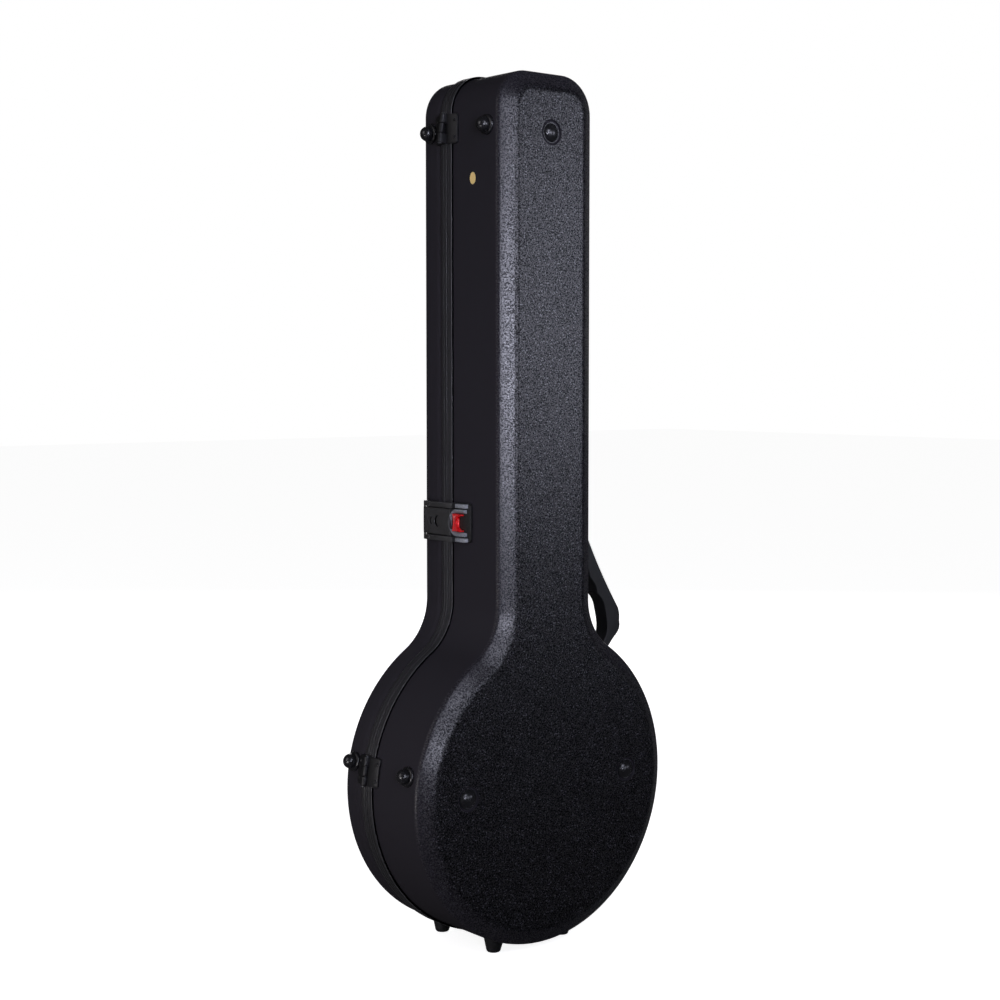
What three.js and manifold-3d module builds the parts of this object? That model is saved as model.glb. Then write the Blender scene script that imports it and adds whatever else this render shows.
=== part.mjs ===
// A moulded banjo case, standing on its round end: deep base shell towards -Y, shallow lid towards +Y.
// Sizes are millimetres, +Z is up, and the origin is on the ground below the middle of the case.
import * as THREE from 'three';
import { mergeVertices } from 'three/addons/utils/BufferGeometryUtils.js';
import Module from 'manifold-3d';

const wasm = await Module();
wasm.setup();

// Driving dimensions of the case: its outline, seen from the front
const caseLength = 1050;
const neckWidth = 145.6;
const potRadius = 194;
const topCornerRadius = 45;
const shoulderRadius = 75;

// Driving dimensions of the case: its depth on each side of the seam
const baseDepth = 106;
const lidDepth = 59.6;
const chamferInset = 20.4;
const chamferDepth = 12.7;
const chamferRound = 5;
const shellWall = 3;

// Clearances: between pieces that touch, round pins, round pieces that move, and past a cut
const seatGap = 0.3;
const pinGap = 0.3;
const runGap = 0.5;
const overrun = 20;

// Fineness of the round stretches
const potSteps = 15;
const shoulderSteps = 5;
const cornerSteps = 6;
const roundSides = 16;

// Trim frame on each shell's edge, which grips the wall and meets its twin at the seam
const valanceProud = 3;
const valanceHeight = 10;
const valanceWeb = 5;
const valanceInnerWall = 1.5;
const valanceInnerHeight = 9;
const valanceEdge = 0.8;
const seamGap = 0.2;
const tongueHeight = 2.5;
const tongueWidth = 1.4;
const tongueTaper = 0.2;
const tongueInset = 0.8;
const grooveGap = 0.8;
const grooveDepthGap = 0.6;

// Hinges on the left edge, on one slanted line past the pot and the neck's top corner
const knuckleRadius = 3.6;
const hingeStandOff = 7;
const hingeLength = 35;
const hingePinRadius = 1.5;
const hingePinHead = 1.2;
const leafReach = 20.5;
const leafThickness = 2;
const leafStepReach = 12.5;
const upperHingeDrop = 62;
const lowerHingeRise = 0;
const middleKnuckleShare = 0.34;
const rivetRadius = 2.6;
const rivetHeight = 1.4;
const rivetSpacing = 20;
const rivetReach = 16.5;

// Round standing studs on the hinge side
const studBaseRadius = 12;
const studBaseHeight = 4;
const studNeckRadius = 7.5;
const studDomeHeight = 6;
const studDomeRadius = 9;
const studDomeSteps = 5;
const studUpperDrop = 65;
const studLowerHeight = 229;
const baseStudReach = 75;
const lidStudReach = 34;

// Low feet on the back face of the base, each in a shallow round recess
const backFootRadius = 11;
const backFootHeight = 5.5;
const backFootFlange = 12.5;
const backFootFlangeHeight = 1.6;
const backRecessRadius = 14.5;
const backRecessDepth = 1.4;
const potFootSpread = 125.6;
const potFootHeight = 198.7;
const neckFootDrop = 71.3;

// Tapered feet below the pot, which the case stands on
const endFootDrop = 8;
const endFootTopRadius = 14;
const endFootRadius = 8.5;
const endFootEdge = 2.5;
const endFootSpread = 55;
const endFootBaseReach = 64;
const endFootLidReach = 39;

// Latches, each with a frame on the lid, a lever on a pin, a catch on the base and a button
const latchHalfWidth = 23.6;
const railWidth = 6.2;
const railTop = 10;
const railRound = 4;
const railBaseReach = 19;
const railLidReach = 46;
const railUnderside = 5.8;
const plateThickness = 2.7;
const leverTop = 8.8;
const leverUnderside = 3.7;
const leverPinReach = 41;
const leverEndReach = 13;
const leverSideGap = 0.6;
const leverPinRadius = 1.2;
const gripMarkDepth = 1;
const gripMarkRadius = 9;
const gripMarkWidth = 1.6;
const gripMarkReaches = [29, 19];
const catchReach = 46.5;
const catchPlateTop = 3.5;
const archHalfWidth = 16.2;
const archCentreReach = 24;
const archTopReach = 10;
const archHeight = 8.2;
const archEndReach = 40;
const tipStart = 20.7;
const tipEnd = 42.4;
const tipTop = 9;
const pocketHalfWidth = 11.2;
const pocketStart = 14;
const pocketEnd = 37;
const pocketFloor = 1.4;
const buttonStart = 14.8;
const buttonEnd = 30.5;
const buttonTop = 7.2;
const buttonRingTop = 8.4;
const buttonRingWidth = 3;
const leftLatchHeight = 515;
const upperLatchDrop = 155;
const middleLatchRise = 102;
const potLatchAngle = -15;

// Carrying handle across the right shoulder, on two pins in brackets
const handleReach = 32;
const handleWidth = 22;
const handleBevel = 2;
const handleUpperHeight = 548;
const handleLowerAngle = 45;
const handlePinStand = 16;
const handlePinRadius = 2.5;
const handleBossRadius = 8;
const handleBossLength = 11;
const handlePostWidth = 15;
const handleCornerRise = 36;
const handleCornerStart = 15;
const handleCornerEnd = 41;
const handleCornerDrop = 9;
const handleTopRise = 2;
const handleGripDepth = 20;
const fingerPitch = 24;
const fingerDepth = 2.6;
const fingerStart = 50;
const fingerEndReach = 46;
const bracketEar = 4.5;
const bracketWidth = 20;
const bracketLength = 34;
const bracketPlate = 3;

// Plush lining on foam, and the blocks that hold the banjo
const baseLiningThickness = 8;
const lidLiningThickness = 6;
const liningRimGap = 0.6;
const blockTopReach = 20;
const neckNotchHalfWidth = 27;
const neckNotchFloorReach = 48;
const neckNotchRound = 16;
const lowerCradleHeight = 470;
const cradleLength = 44;
const headBlockDrop = 125;
const headBlockLength = 60;
const headBlockTopReach = 52;

// Accessory compartment under the neck, with a lid on a pin
const compartmentLength = 100;
const compartmentTopReach = 62;
const compartmentWall = 5;
const compartmentLidThickness = 4;
const compartmentPinRadius = 1.5;
const compartmentKnuckleRadius = 3;
const compartmentEar = 5;
const compartmentEarLength = 9;
const compartmentTabWidth = 18;
const compartmentTabLength = 9;
const compartmentTabThickness = 1.6;

// How the free length between the lower cradle and the head block is shared out between the blocks
const freeLengthShares = [76, 100, 91];

// Sizes that follow from the ones above
const neckHalf = neckWidth / 2;
const shoulderCentreX = neckHalf + shoulderRadius;
const shoulderCentreZ = potRadius + Math.sqrt((potRadius + shoulderRadius) ** 2 - shoulderCentreX ** 2);
const shoulderAngle = Math.atan2(shoulderCentreZ - potRadius, shoulderCentreX);
const backFootProud = backFootHeight - backRecessDepth;
const middleY = (baseDepth + backFootProud - lidDepth) / 2;
const headBlockHeight = caseLength - headBlockDrop;
const neckLatchHeights = {
  left: leftLatchHeight,
  right_upper: caseLength - upperLatchDrop,
  right_middle: handleUpperHeight + middleLatchRise,
};

const materials = {
  shell: new THREE.MeshStandardMaterial({ color: 0x1e1f22, roughness: 0.55, metalness: 0 }),
  valance: new THREE.MeshStandardMaterial({ color: 0x17171a, roughness: 0.5, metalness: 0.1 }),
  hinge: new THREE.MeshStandardMaterial({ color: 0x141416, roughness: 0.45, metalness: 0.3 }),
  pin: new THREE.MeshStandardMaterial({ color: 0x77797d, roughness: 0.35, metalness: 1 }),
  rubber: new THREE.MeshStandardMaterial({ color: 0x0d0d0f, roughness: 0.3, metalness: 0 }),
  latchBlack: new THREE.MeshStandardMaterial({ color: 0x28282b, roughness: 0.5, metalness: 0 }),
  latchGrey: new THREE.MeshStandardMaterial({ color: 0x5c5e6b, roughness: 0.45, metalness: 0.2 }),
  latchRed: new THREE.MeshStandardMaterial({ color: 0xb0101c, roughness: 0.35, metalness: 0 }),
  plush: new THREE.MeshStandardMaterial({ color: 0x1b1b22, roughness: 0.95, metalness: 0 }),
};

const part = new THREE.Group();
part.position.set(0, middleY, endFootDrop);

function addMesh(parent, name, geometry, material) {
  const mesh = new THREE.Mesh(geometry, material);
  mesh.name = name;
  parent.add(mesh);
  return mesh;
}

// A group with its own axes: where the local x, y and z point, and where its origin lies
function frameGroup(xAxis, yAxis, zAxis, origin) {
  const group = new THREE.Group();
  const matrix = new THREE.Matrix4().makeBasis(xAxis, yAxis, zAxis).setPosition(origin);
  matrix.decompose(group.position, group.quaternion, group.scale);
  group.updateMatrix();
  part.add(group);
  return group;
}

// Closed solids

function solidOf(geometry) {
  const bare = geometry.clone();
  bare.deleteAttribute('normal');
  bare.deleteAttribute('uv');
  const merged = mergeVertices(bare);
  return new wasm.Manifold(new wasm.Mesh({
    numProp: 3,
    vertProperties: Float32Array.from(merged.attributes.position.array),
    triVerts: Uint32Array.from(merged.index.array),
  }));
}

function geometryOf(solid) {
  const mesh = solid.getMesh();
  const geometry = new THREE.BufferGeometry();
  geometry.setAttribute('position', new THREE.BufferAttribute(Float32Array.from(mesh.vertProperties), 3));
  geometry.setIndex(new THREE.BufferAttribute(Uint32Array.from(mesh.triVerts), 1));
  return geometry;
}

function join(...geometries) {
  return geometryOf(geometries.map(solidOf).reduce((whole, next) => whole.add(next)));
}

function cut(geometry, ...cutters) {
  return geometryOf(cutters.map(solidOf).reduce((rest, next) => rest.subtract(next), solidOf(geometry)));
}

function signedVolume(points, triangles) {
  let sum = 0;
  for (let i = 0; i < triangles.length; i += 3) {
    const [a, b, c] = [points[triangles[i]], points[triangles[i + 1]], points[triangles[i + 2]]];
    sum += a.dot(b.clone().cross(c));
  }
  return sum;
}

// Skin over a row of rings with equal counts of points, capped at both ends or closed on itself
function loft(rings, closed = false) {
  const count = rings[0].length;
  const points = rings.flat();
  const triangles = [];
  const bands = closed ? rings.length : rings.length - 1;
  for (let r = 0; r < bands; r += 1) {
    const low = r * count;
    const high = ((r + 1) % rings.length) * count;
    for (let i = 0; i < count; i += 1) {
      const j = (i + 1) % count;
      triangles.push(low + i, low + j, high + j, low + i, high + j, high + i);
    }
  }
  if (!closed) {
    const last = (rings.length - 1) * count;
    triangles.push(...capOf(rings[0]).flatMap(([a, b, c]) => [a, c, b]));
    triangles.push(...capOf(rings[rings.length - 1]).flatMap((face) => face.map((i) => i + last)));
  }
  if (signedVolume(points, triangles) < 0) {
    triangles.reverse();
  }
  const geometry = new THREE.BufferGeometry();
  geometry.setFromPoints(points);
  geometry.setIndex(triangles);
  return geometry;
}

// Triangles that fill a flat ring, wound as the ring runs in the plane that shows it widest
function capOf(ring) {
  const normal = new THREE.Vector3();
  ring.forEach((p, i) => normal.add(p.clone().cross(ring[(i + 1) % ring.length])));
  normal.normalize();
  const across = ring[1].clone().sub(ring[0]).projectOnPlane(normal).normalize();
  const up = normal.clone().cross(across);
  const flat = ring.map((p) => new THREE.Vector2(p.dot(across), p.dot(up)));
  return THREE.ShapeUtils.triangulateShape(flat, []);
}

function extruded(shape, length, options = {}) {
  const settings = { depth: length, bevelEnabled: false, curveSegments: 8, ...options };
  return new THREE.ExtrudeGeometry(shape, settings);
}

// A box by its lowest and highest corners
function block(low, high) {
  const size = new THREE.Vector3().fromArray(high).sub(new THREE.Vector3().fromArray(low));
  const box = new THREE.BoxGeometry(size.x, size.y, size.z);
  return box.translate(low[0] + size.x / 2, low[1] + size.y / 2, low[2] + size.z / 2);
}

// A round bar along x, from one place to another
function barAlongX(radius, from, to, sides = roundSides) {
  const bar = new THREE.CylinderGeometry(radius, radius, to - from, sides);
  return bar.rotateZ(Math.PI / 2).translate((from + to) / 2, 0, 0);
}

// A turned piece about z: its profile is a list of radius and height
function turned(profile, sides = roundSides) {
  const points = profile.map(([radius, height]) => new THREE.Vector2(radius, height));
  const lathe = new THREE.LatheGeometry(points, sides).rotateX(Math.PI / 2);
  return lathe;
}

// Outline of the case

function arcPoints(cx, cz, radius, from, to, steps) {
  return Array.from({ length: steps + 1 }, (_, i) => {
    const angle = from + ((to - from) * i) / steps;
    return [cx + radius * Math.cos(angle), cz + radius * Math.sin(angle)];
  });
}

// Points round the case, all at the same distance inside its outline: pot, shoulder, neck and top
function outline(inset) {
  const quarter = Math.PI / 2;
  const cornerX = neckHalf - topCornerRadius;
  const cornerZ = caseLength - topCornerRadius;
  const shoulder = [shoulderCentreX, shoulderCentreZ, shoulderRadius + inset];
  const right = [
    ...arcPoints(0, potRadius, potRadius - inset, -quarter, shoulderAngle, potSteps),
    ...arcPoints(...shoulder, Math.PI + shoulderAngle, Math.PI, shoulderSteps).slice(1),
    ...arcPoints(cornerX, cornerZ, topCornerRadius - inset, 0, quarter, cornerSteps),
  ];
  const left = right.slice(1).reverse().map(([x, z]) => [-x, z]);
  return [...right, ...left];
}

function ring(inset, y) {
  return outline(inset).map(([x, z]) => new THREE.Vector3(x, y, z));
}

// Where a surface parallel to the chamfer, at a depth inside the shell, meets the side and the face
function chamferEnds(depth) {
  const slope = Math.hypot(chamferInset, chamferDepth);
  const offset = chamferInset * chamferDepth + depth * slope;
  return {
    side: [depth, (offset - chamferDepth * depth) / chamferInset],
    face: [(offset - chamferInset * depth) / chamferDepth, depth],
  };
}

// Three points that round off the corner between two neighbours
function roundedCorner(before, corner, after, reach) {
  const at = new THREE.Vector2().fromArray(corner);
  const from = new THREE.Vector2().fromArray(before).sub(at).setLength(reach).add(at);
  const to = new THREE.Vector2().fromArray(after).sub(at).setLength(reach).add(at);
  return new THREE.QuadraticBezierCurve(from, at, to).getPoints(2).map((p) => [p.x, p.y]);
}

// An open tray that follows the outline: a face, a chamfer and a side, from outside to inside
function tray(side, depth, outer, thickness, rimGap) {
  const outerEnds = chamferEnds(outer);
  const innerEnds = chamferEnds(outer + thickness);
  const rim = depth - rimGap;
  const middle = [caseLength, outer];
  const rounds = outer > 0 ? [outerEnds.face, outerEnds.side] : [
    ...roundedCorner(middle, outerEnds.face, outerEnds.side, chamferRound),
    ...roundedCorner(outerEnds.face, outerEnds.side, [outer, rim], chamferRound),
  ];
  const profile = [
    ...rounds,
    [outer, rim],
    [outer + thickness, rim],
    innerEnds.side,
    innerEnds.face,
  ];
  return loft(profile.map(([inset, fromFace]) => ring(inset, side * (depth - fromFace))));
}

// The space that the case's walls and trim fill, with the gap that fitted pieces keep from them
const walls = loft([
  ring(-seatGap, -baseDepth - overrun),
  ring(-seatGap, -valanceHeight - seatGap),
  ring(-valanceProud - seatGap, -valanceHeight - seatGap),
  ring(-valanceProud - seatGap, valanceHeight + seatGap),
  ring(-seatGap, valanceHeight + seatGap),
  ring(-seatGap, lidDepth + overrun),
]);

// A piece drawn in a group's own axes, cut back to the gap from the walls behind it
function fitted(geometry, group) {
  return cut(geometry, walls.clone().applyMatrix4(group.matrix.clone().invert()));
}

// A group on the side wall, with z out of the wall and x along it, at a place on the seam
function wallGroup(outX, outZ, seatX, seatZ) {
  const out = new THREE.Vector3(outX, 0, outZ).normalize();
  const yAxis = new THREE.Vector3(0, 1, 0);
  return frameGroup(yAxis.clone().cross(out), yAxis, out, new THREE.Vector3(seatX, 0, seatZ));
}

function neckWallGroup(side, height) {
  return wallGroup(side, 0, side * neckHalf, height);
}

function potWallGroup(angle) {
  const [outX, outZ] = [Math.cos(angle), Math.sin(angle)];
  return wallGroup(outX, outZ, potRadius * outX, potRadius + potRadius * outZ);
}

// Shells, with the round recesses that seat the back feet
function buildShells() {
  const rimGap = valanceWeb + seatGap;
  const recesses = backFootPlaces().map(([x, z]) => {
    const bore = new THREE.CylinderGeometry(backRecessRadius, backRecessRadius, overrun, roundSides);
    return bore.translate(x, backRecessDepth - baseDepth - overrun / 2, z);
  });
  addMesh(part, 'base_shell', cut(tray(-1, baseDepth, 0, shellWall, rimGap), ...recesses), materials.shell);
  addMesh(part, 'lid_shell', tray(1, lidDepth, 0, shellWall, rimGap), materials.shell);
}

// Trim frames: a channel over the wall's edge, with a tongue on the base and a groove in the lid
function valanceProfile(hasTongue) {
  const lip = -valanceProud;
  const innerFace = shellWall + seatGap;
  const innerEdge = innerFace + valanceInnerWall;
  const channel = [
    [lip, seamGap],
    [lip, valanceHeight - valanceEdge],
    [lip + valanceEdge, valanceHeight],
    [-seatGap, valanceHeight],
    [-seatGap, valanceWeb],
    [innerFace, valanceWeb],
    [innerFace, valanceInnerHeight],
    [innerEdge, valanceInnerHeight],
    [innerEdge, seamGap],
  ];
  const tongueEnd = tongueInset + tongueWidth;
  const tongue = [
    [tongueEnd, seamGap],
    [tongueEnd - tongueTaper, -tongueHeight],
    [tongueInset + tongueTaper, -tongueHeight],
    [tongueInset, seamGap],
  ];
  const grooveDepth = tongueHeight + grooveDepthGap;
  const groove = [
    [tongueEnd + grooveGap, seamGap],
    [tongueEnd + grooveGap, grooveDepth],
    [tongueInset - grooveGap, grooveDepth],
    [tongueInset - grooveGap, seamGap],
  ];
  return [...channel, ...(hasTongue ? tongue : groove)];
}

function buildValances() {
  for (const [name, side] of [['base_valance', -1], ['lid_valance', 1]]) {
    const rings = valanceProfile(side < 0).map(([inset, fromSeam]) => ring(inset, side * fromSeam));
    addMesh(part, name, loft(rings, true), materials.valance);
  }
}

// Hinges: the line of their pins touches the rounds of the pot and of the neck's top corner
function hingeLine() {
  const potCentre = new THREE.Vector3(0, 0, potRadius);
  const cornerCentre = new THREE.Vector3(topCornerRadius - neckHalf, 0, caseLength - topCornerRadius);
  const between = cornerCentre.clone().sub(potCentre);
  const lean = Math.acos((potRadius - topCornerRadius) / between.length());
  const yAxis = new THREE.Vector3(0, 1, 0);
  const out = between.clone().normalize().applyAxisAngle(yAxis, -lean);
  const along = yAxis.clone().cross(out);
  return { out, along, start: potCentre.addScaledVector(out, potRadius + hingeStandOff) };
}

// A leaf in the hinge's axes (x along the pin, z out): a plate on the wall that steps over the trim
function hingeLeaf(group, side, wallAt, knuckles, otherKnuckles) {
  const sections = [-hingeLength / 2, 0, hingeLength / 2].map((x) => {
    const wall = -wallAt(x);
    const onWall = wall + seatGap + leafThickness;
    const onTrim = wall + valanceProud + seatGap + leafThickness;
    return [
      [seamGap, wall - leafThickness],
      [leafReach, wall - leafThickness],
      [leafReach, onWall],
      [leafStepReach, onWall],
      [leafStepReach - seatGap, onTrim],
      [seamGap, onTrim],
    ].map(([y, z]) => new THREE.Vector3(x, side * y, z));
  });
  const barrels = knuckles.flatMap(([from, to]) => [
    barAlongX(knuckleRadius, from, to),
    block(
      [from, side > 0 ? seamGap : -knuckleRadius, -wallAt(from) + valanceProud + seatGap],
      [to, side > 0 ? knuckleRadius : -seamGap, 0],
    ),
  ]);
  const roomRadius = knuckleRadius + runGap;
  const rooms = otherKnuckles.map(([from, to]) => barAlongX(roomRadius, from - runGap, to + runGap));
  const bore = barAlongX(hingePinRadius + pinGap, -hingeLength, hingeLength);
  const rivets = [-1, 1].map((end) => {
    const x = (end * rivetSpacing) / 2;
    const dome = turned([[0, -leafThickness], [rivetRadius, -leafThickness], [rivetRadius, 0],
      [rivetRadius / 2, rivetHeight], [0, rivetHeight]], roundSides / 2);
    return dome.translate(x, side * rivetReach, seatGap + leafThickness - wallAt(x));
  });
  const leaf = cut(loft(sections), ...rooms);
  return fitted(cut(join(leaf, ...barrels, ...rivets), bore), group);
}

function buildHinges() {
  const { out, along, start } = hingeLine();
  const yAxis = new THREE.Vector3(0, 1, 0);
  const neckTravel = (caseLength - upperHingeDrop - start.z) / along.z;
  const potWall = (x) => potRadius + hingeStandOff - Math.sqrt(potRadius ** 2 - (x + lowerHingeRise) ** 2);
  const neckWall = (x) => (neckHalf + start.x + (neckTravel + x) * along.x) / out.x;
  const places = [['upper', neckTravel, neckWall], ['lower', lowerHingeRise, potWall]];
  for (const [name, travel, wallAt] of places) {
    const group = frameGroup(along, yAxis, out, start.clone().addScaledVector(along, travel));
    const half = hingeLength / 2;
    const middle = (hingeLength * middleKnuckleShare) / 2;
    const ends = [[-half, -middle - runGap / 2], [middle + runGap / 2, half]];
    const centre = [[-middle + runGap / 2, middle - runGap / 2]];
    addMesh(group, `hinge_${name}_base_leaf`, hingeLeaf(group, -1, wallAt, ends, centre), materials.hinge);
    addMesh(group, `hinge_${name}_lid_leaf`, hingeLeaf(group, 1, wallAt, centre, ends), materials.hinge);
    const heads = [-1, 1].map((end) => {
      const [near, far] = [half + pinGap, half + pinGap + hingePinHead];
      return barAlongX(hingePinRadius + hingePinHead, ...(end > 0 ? [near, far] : [-far, -near]));
    });
    const pin = join(barAlongX(hingePinRadius, -half - pinGap, half + pinGap), ...heads);
    addMesh(group, `hinge_${name}_pin`, pin, materials.pin);
  }
}

// Studs on the hinge side, which the case lies or leans on
function buildStuds() {
  const stud = turned([
    [0, -studBaseHeight],
    [studBaseRadius, -studBaseHeight],
    [studBaseRadius, studBaseHeight / 2],
    [studBaseRadius - studBaseHeight / 2, studBaseHeight],
    [studNeckRadius, studBaseHeight],
    ...arcPoints(0, studDomeHeight, studDomeRadius, 0, Math.PI / 2, studDomeSteps),
  ]);
  const lowerAngle = Math.PI - Math.asin((studLowerHeight - potRadius) / potRadius);
  const groups = {
    upper: neckWallGroup(-1, caseLength - studUpperDrop),
    lower: potWallGroup(lowerAngle),
  };
  for (const [name, group] of Object.entries(groups)) {
    for (const [side, y] of [['base', -baseStudReach], ['lid', lidStudReach]]) {
      const geometry = fitted(stud.clone().translate(0, y, 0), group);
      addMesh(group, `stud_${name}_${side}`, geometry, materials.rubber);
    }
  }
}

// Feet on the back face, for the case laid flat
function backFootPlaces() {
  return [[-potFootSpread, potFootHeight], [potFootSpread, potFootHeight], [0, caseLength - neckFootDrop]];
}

function buildBackFeet() {
  const foot = turned([
    [0, seatGap],
    [backFootFlange, seatGap],
    [backFootFlange, backFootFlangeHeight],
    [backFootRadius, backFootFlangeHeight],
    [backFootRadius, (backFootFlangeHeight + backFootHeight) / 2],
    [backFootRadius - backFootFlangeHeight, backFootHeight - backFootFlangeHeight / 2],
    [backFootRadius / 2, backFootHeight],
    [0, backFootHeight],
  ]).rotateX(Math.PI / 2);
  const names = ['back_foot_left', 'back_foot_right', 'back_foot_top'];
  backFootPlaces().forEach(([x, z], i) => {
    const mesh = addMesh(part, names[i], foot.clone(), materials.rubber);
    mesh.position.set(x, backRecessDepth - baseDepth, z);
  });
}

// Feet below the pot, upright and flat below, fitted to its round wall
function buildEndFeet() {
  const foot = turned([
    [0, -endFootDrop],
    [endFootRadius - endFootEdge, -endFootDrop],
    [endFootRadius, endFootEdge - endFootDrop],
    [endFootTopRadius, endFootDrop + endFootTopRadius],
    [0, endFootDrop + endFootTopRadius],
  ]);
  const reaches = { base: -endFootBaseReach, lid: endFootLidReach };
  for (const [side, y] of Object.entries(reaches)) {
    for (const [hand, x] of [['left', -endFootSpread], ['right', endFootSpread]]) {
      const upright = frameGroup(
        new THREE.Vector3(1, 0, 0), new THREE.Vector3(0, 1, 0), new THREE.Vector3(0, 0, 1),
        new THREE.Vector3(x, y, 0),
      );
      addMesh(upright, `end_foot_${side}_${hand}`, fitted(foot, upright), materials.rubber);
    }
  }
}

// Latches, drawn with x along the wall, y across the seam and z out of the wall

// A solid with its profile in y and z, between two places along x
function profileAlongX(points, from, to) {
  const shape = new THREE.Shape(points.map(([y, z]) => new THREE.Vector2(y, z)));
  const turn = new THREE.Matrix4().makeBasis(
    new THREE.Vector3(0, 1, 0), new THREE.Vector3(0, 0, 1), new THREE.Vector3(1, 0, 0),
  );
  return extruded(shape, to - from).applyMatrix4(turn).translate(from, 0, 0);
}

function latchFrame(group) {
  const inner = latchHalfWidth - railWidth;
  const half = railRound / 2;
  const plate = block([-latchHalfWidth, valanceHeight + runGap, -plateThickness],
    [latchHalfWidth, railLidReach - railRound, seatGap + plateThickness]);
  const railPoints = [
    [-railBaseReach, railUnderside],
    [valanceHeight + railUnderside, railUnderside],
    [valanceHeight + railUnderside, -plateThickness],
    [railLidReach - half, -plateThickness],
    [railLidReach, half],
    [railLidReach, railTop - railRound],
    [railLidReach - railRound, railTop],
    [half - railBaseReach, railTop],
    [-railBaseReach, railTop - half],
  ];
  const rails = [[-latchHalfWidth, -inner], [inner, latchHalfWidth]]
    .map(([from, to]) => profileAlongX(railPoints, from, to));
  const boreEnd = latchHalfWidth + overrun;
  const bore = barAlongX(leverPinRadius + pinGap, -boreEnd, boreEnd, roundSides / 2);
  bore.translate(0, leverPinReach, leverAxisHeight());
  return fitted(cut(join(plate, ...rails), bore), group);
}

function leverAxisHeight() {
  return (leverTop + leverUnderside) / 2;
}

function archShape(gap) {
  const shape = new THREE.Shape();
  const halfWidth = archHalfWidth + gap;
  shape.moveTo(-halfWidth, -archEndReach);
  shape.lineTo(halfWidth, -archEndReach);
  shape.lineTo(halfWidth, -archCentreReach);
  const rise = archCentreReach - archTopReach + gap;
  shape.absellipse(0, -archCentreReach, halfWidth, rise, 0, Math.PI, false, 0);
  return shape;
}

function latchLever() {
  const half = latchHalfWidth - railWidth - leverSideGap;
  const thickness = (leverTop - leverUnderside) / 2;
  const axis = leverAxisHeight();
  const plate = block([-half, -leverEndReach, leverUnderside], [half, leverPinReach, leverTop]);
  const knuckle = barAlongX(thickness, -half, half).translate(0, leverPinReach, axis);
  const bore = barAlongX(leverPinRadius + pinGap, -latchHalfWidth, latchHalfWidth, roundSides / 2);
  const arch = extruded(archShape(seatGap), railTop, { curveSegments: 8 });
  const marks = gripMarkReaches.map((reach) => {
    const mark = new THREE.Shape();
    mark.absarc(gripMarkRadius, 0, gripMarkRadius, (3 * Math.PI) / 4, (5 * Math.PI) / 4, false);
    const innerX = gripMarkRadius + gripMarkWidth;
    mark.absarc(innerX, 0, gripMarkRadius, (5 * Math.PI) / 4, (3 * Math.PI) / 4, true);
    const turnedMark = extruded(mark, railTop, { curveSegments: 4 }).rotateZ(-Math.PI / 2);
    return turnedMark.translate(0, reach, leverTop - gripMarkDepth);
  });
  return cut(join(plate, knuckle), bore.translate(0, leverPinReach, axis), arch, ...marks);
}

function latchCatch(group) {
  const inner = latchHalfWidth - railWidth;
  const plate = block(
    [-latchHalfWidth, -catchReach, -plateThickness],
    [latchHalfWidth, -archTopReach, catchPlateTop],
  );
  const arch = extruded(archShape(0), archHeight, { curveSegments: 8 });
  const room = block([-latchHalfWidth - overrun, -archTopReach - runGap, -plateThickness - overrun],
    [latchHalfWidth + overrun, 0, railTop]);
  const tips = [[-latchHalfWidth, -inner], [inner, latchHalfWidth]].map(([from, to]) => profileAlongX([
    [-tipEnd, 0],
    [-tipStart, 0],
    [-tipStart, tipTop],
    [seatGap - tipEnd + railRound, tipTop],
    [-tipEnd, tipTop - railRound],
  ], from, to));
  const pocket = block([-pocketHalfWidth, -pocketEnd, pocketFloor], [pocketHalfWidth, -pocketStart, railTop]);
  return fitted(cut(join(plate, arch, ...tips), room, pocket), group);
}

function latchButton() {
  const half = pocketHalfWidth - runGap;
  const low = pocketFloor + seatGap;
  const body = block([-half, -buttonEnd, low], [half, -buttonStart, buttonTop]);
  const ringShape = new THREE.Shape();
  ringShape.moveTo(half, -buttonEnd);
  ringShape.absarc(0, -buttonEnd, half, 0, Math.PI, false);
  const hollow = half - buttonRingWidth;
  ringShape.lineTo(-hollow, -buttonEnd);
  ringShape.absarc(0, -buttonEnd, hollow, Math.PI, 0, true);
  const ring = extruded(ringShape, buttonRingTop - low, { curveSegments: 8 }).translate(0, 0, low);
  const dish = new THREE.CylinderGeometry(hollow, hollow, overrun, roundSides).rotateX(Math.PI / 2);
  dish.translate(0, -buttonEnd, low + buttonRingWidth + overrun / 2);
  return join(cut(body, dish), ring);
}

function buildLatches() {
  const places = Object.entries(neckLatchHeights)
    .map(([name, height]) => [name, neckWallGroup(name === 'left' ? -1 : 1, height)]);
  places.push(['pot', potWallGroup(THREE.MathUtils.degToRad(potLatchAngle))]);
  for (const [name, group] of places) {
    addMesh(group, `latch_${name}_frame`, latchFrame(group), materials.latchBlack);
    addMesh(group, `latch_${name}_lever`, latchLever(), materials.latchBlack);
    addMesh(group, `latch_${name}_catch`, latchCatch(group), materials.latchGrey);
    addMesh(group, `latch_${name}_button`, latchButton(), materials.latchRed);
    const pin = barAlongX(leverPinRadius, seatGap - latchHalfWidth, latchHalfWidth - seatGap, roundSides / 2);
    const pinMesh = addMesh(group, `latch_${name}_pin`, pin, materials.pin);
    pinMesh.position.set(0, leverPinReach, leverAxisHeight());
  }
}

// Handle, drawn with x up along its pins, y out of the case and z across the seam

function handlePins() {
  const angle = THREE.MathUtils.degToRad(handleLowerAngle);
  const lowerReach = potRadius + handlePinStand;
  return {
    upper: new THREE.Vector3(neckHalf + handlePinStand, -handleReach, handleUpperHeight),
    lower: new THREE.Vector3(
      lowerReach * Math.cos(angle),
      -handleReach,
      potRadius + lowerReach * Math.sin(angle),
    ),
  };
}

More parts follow.
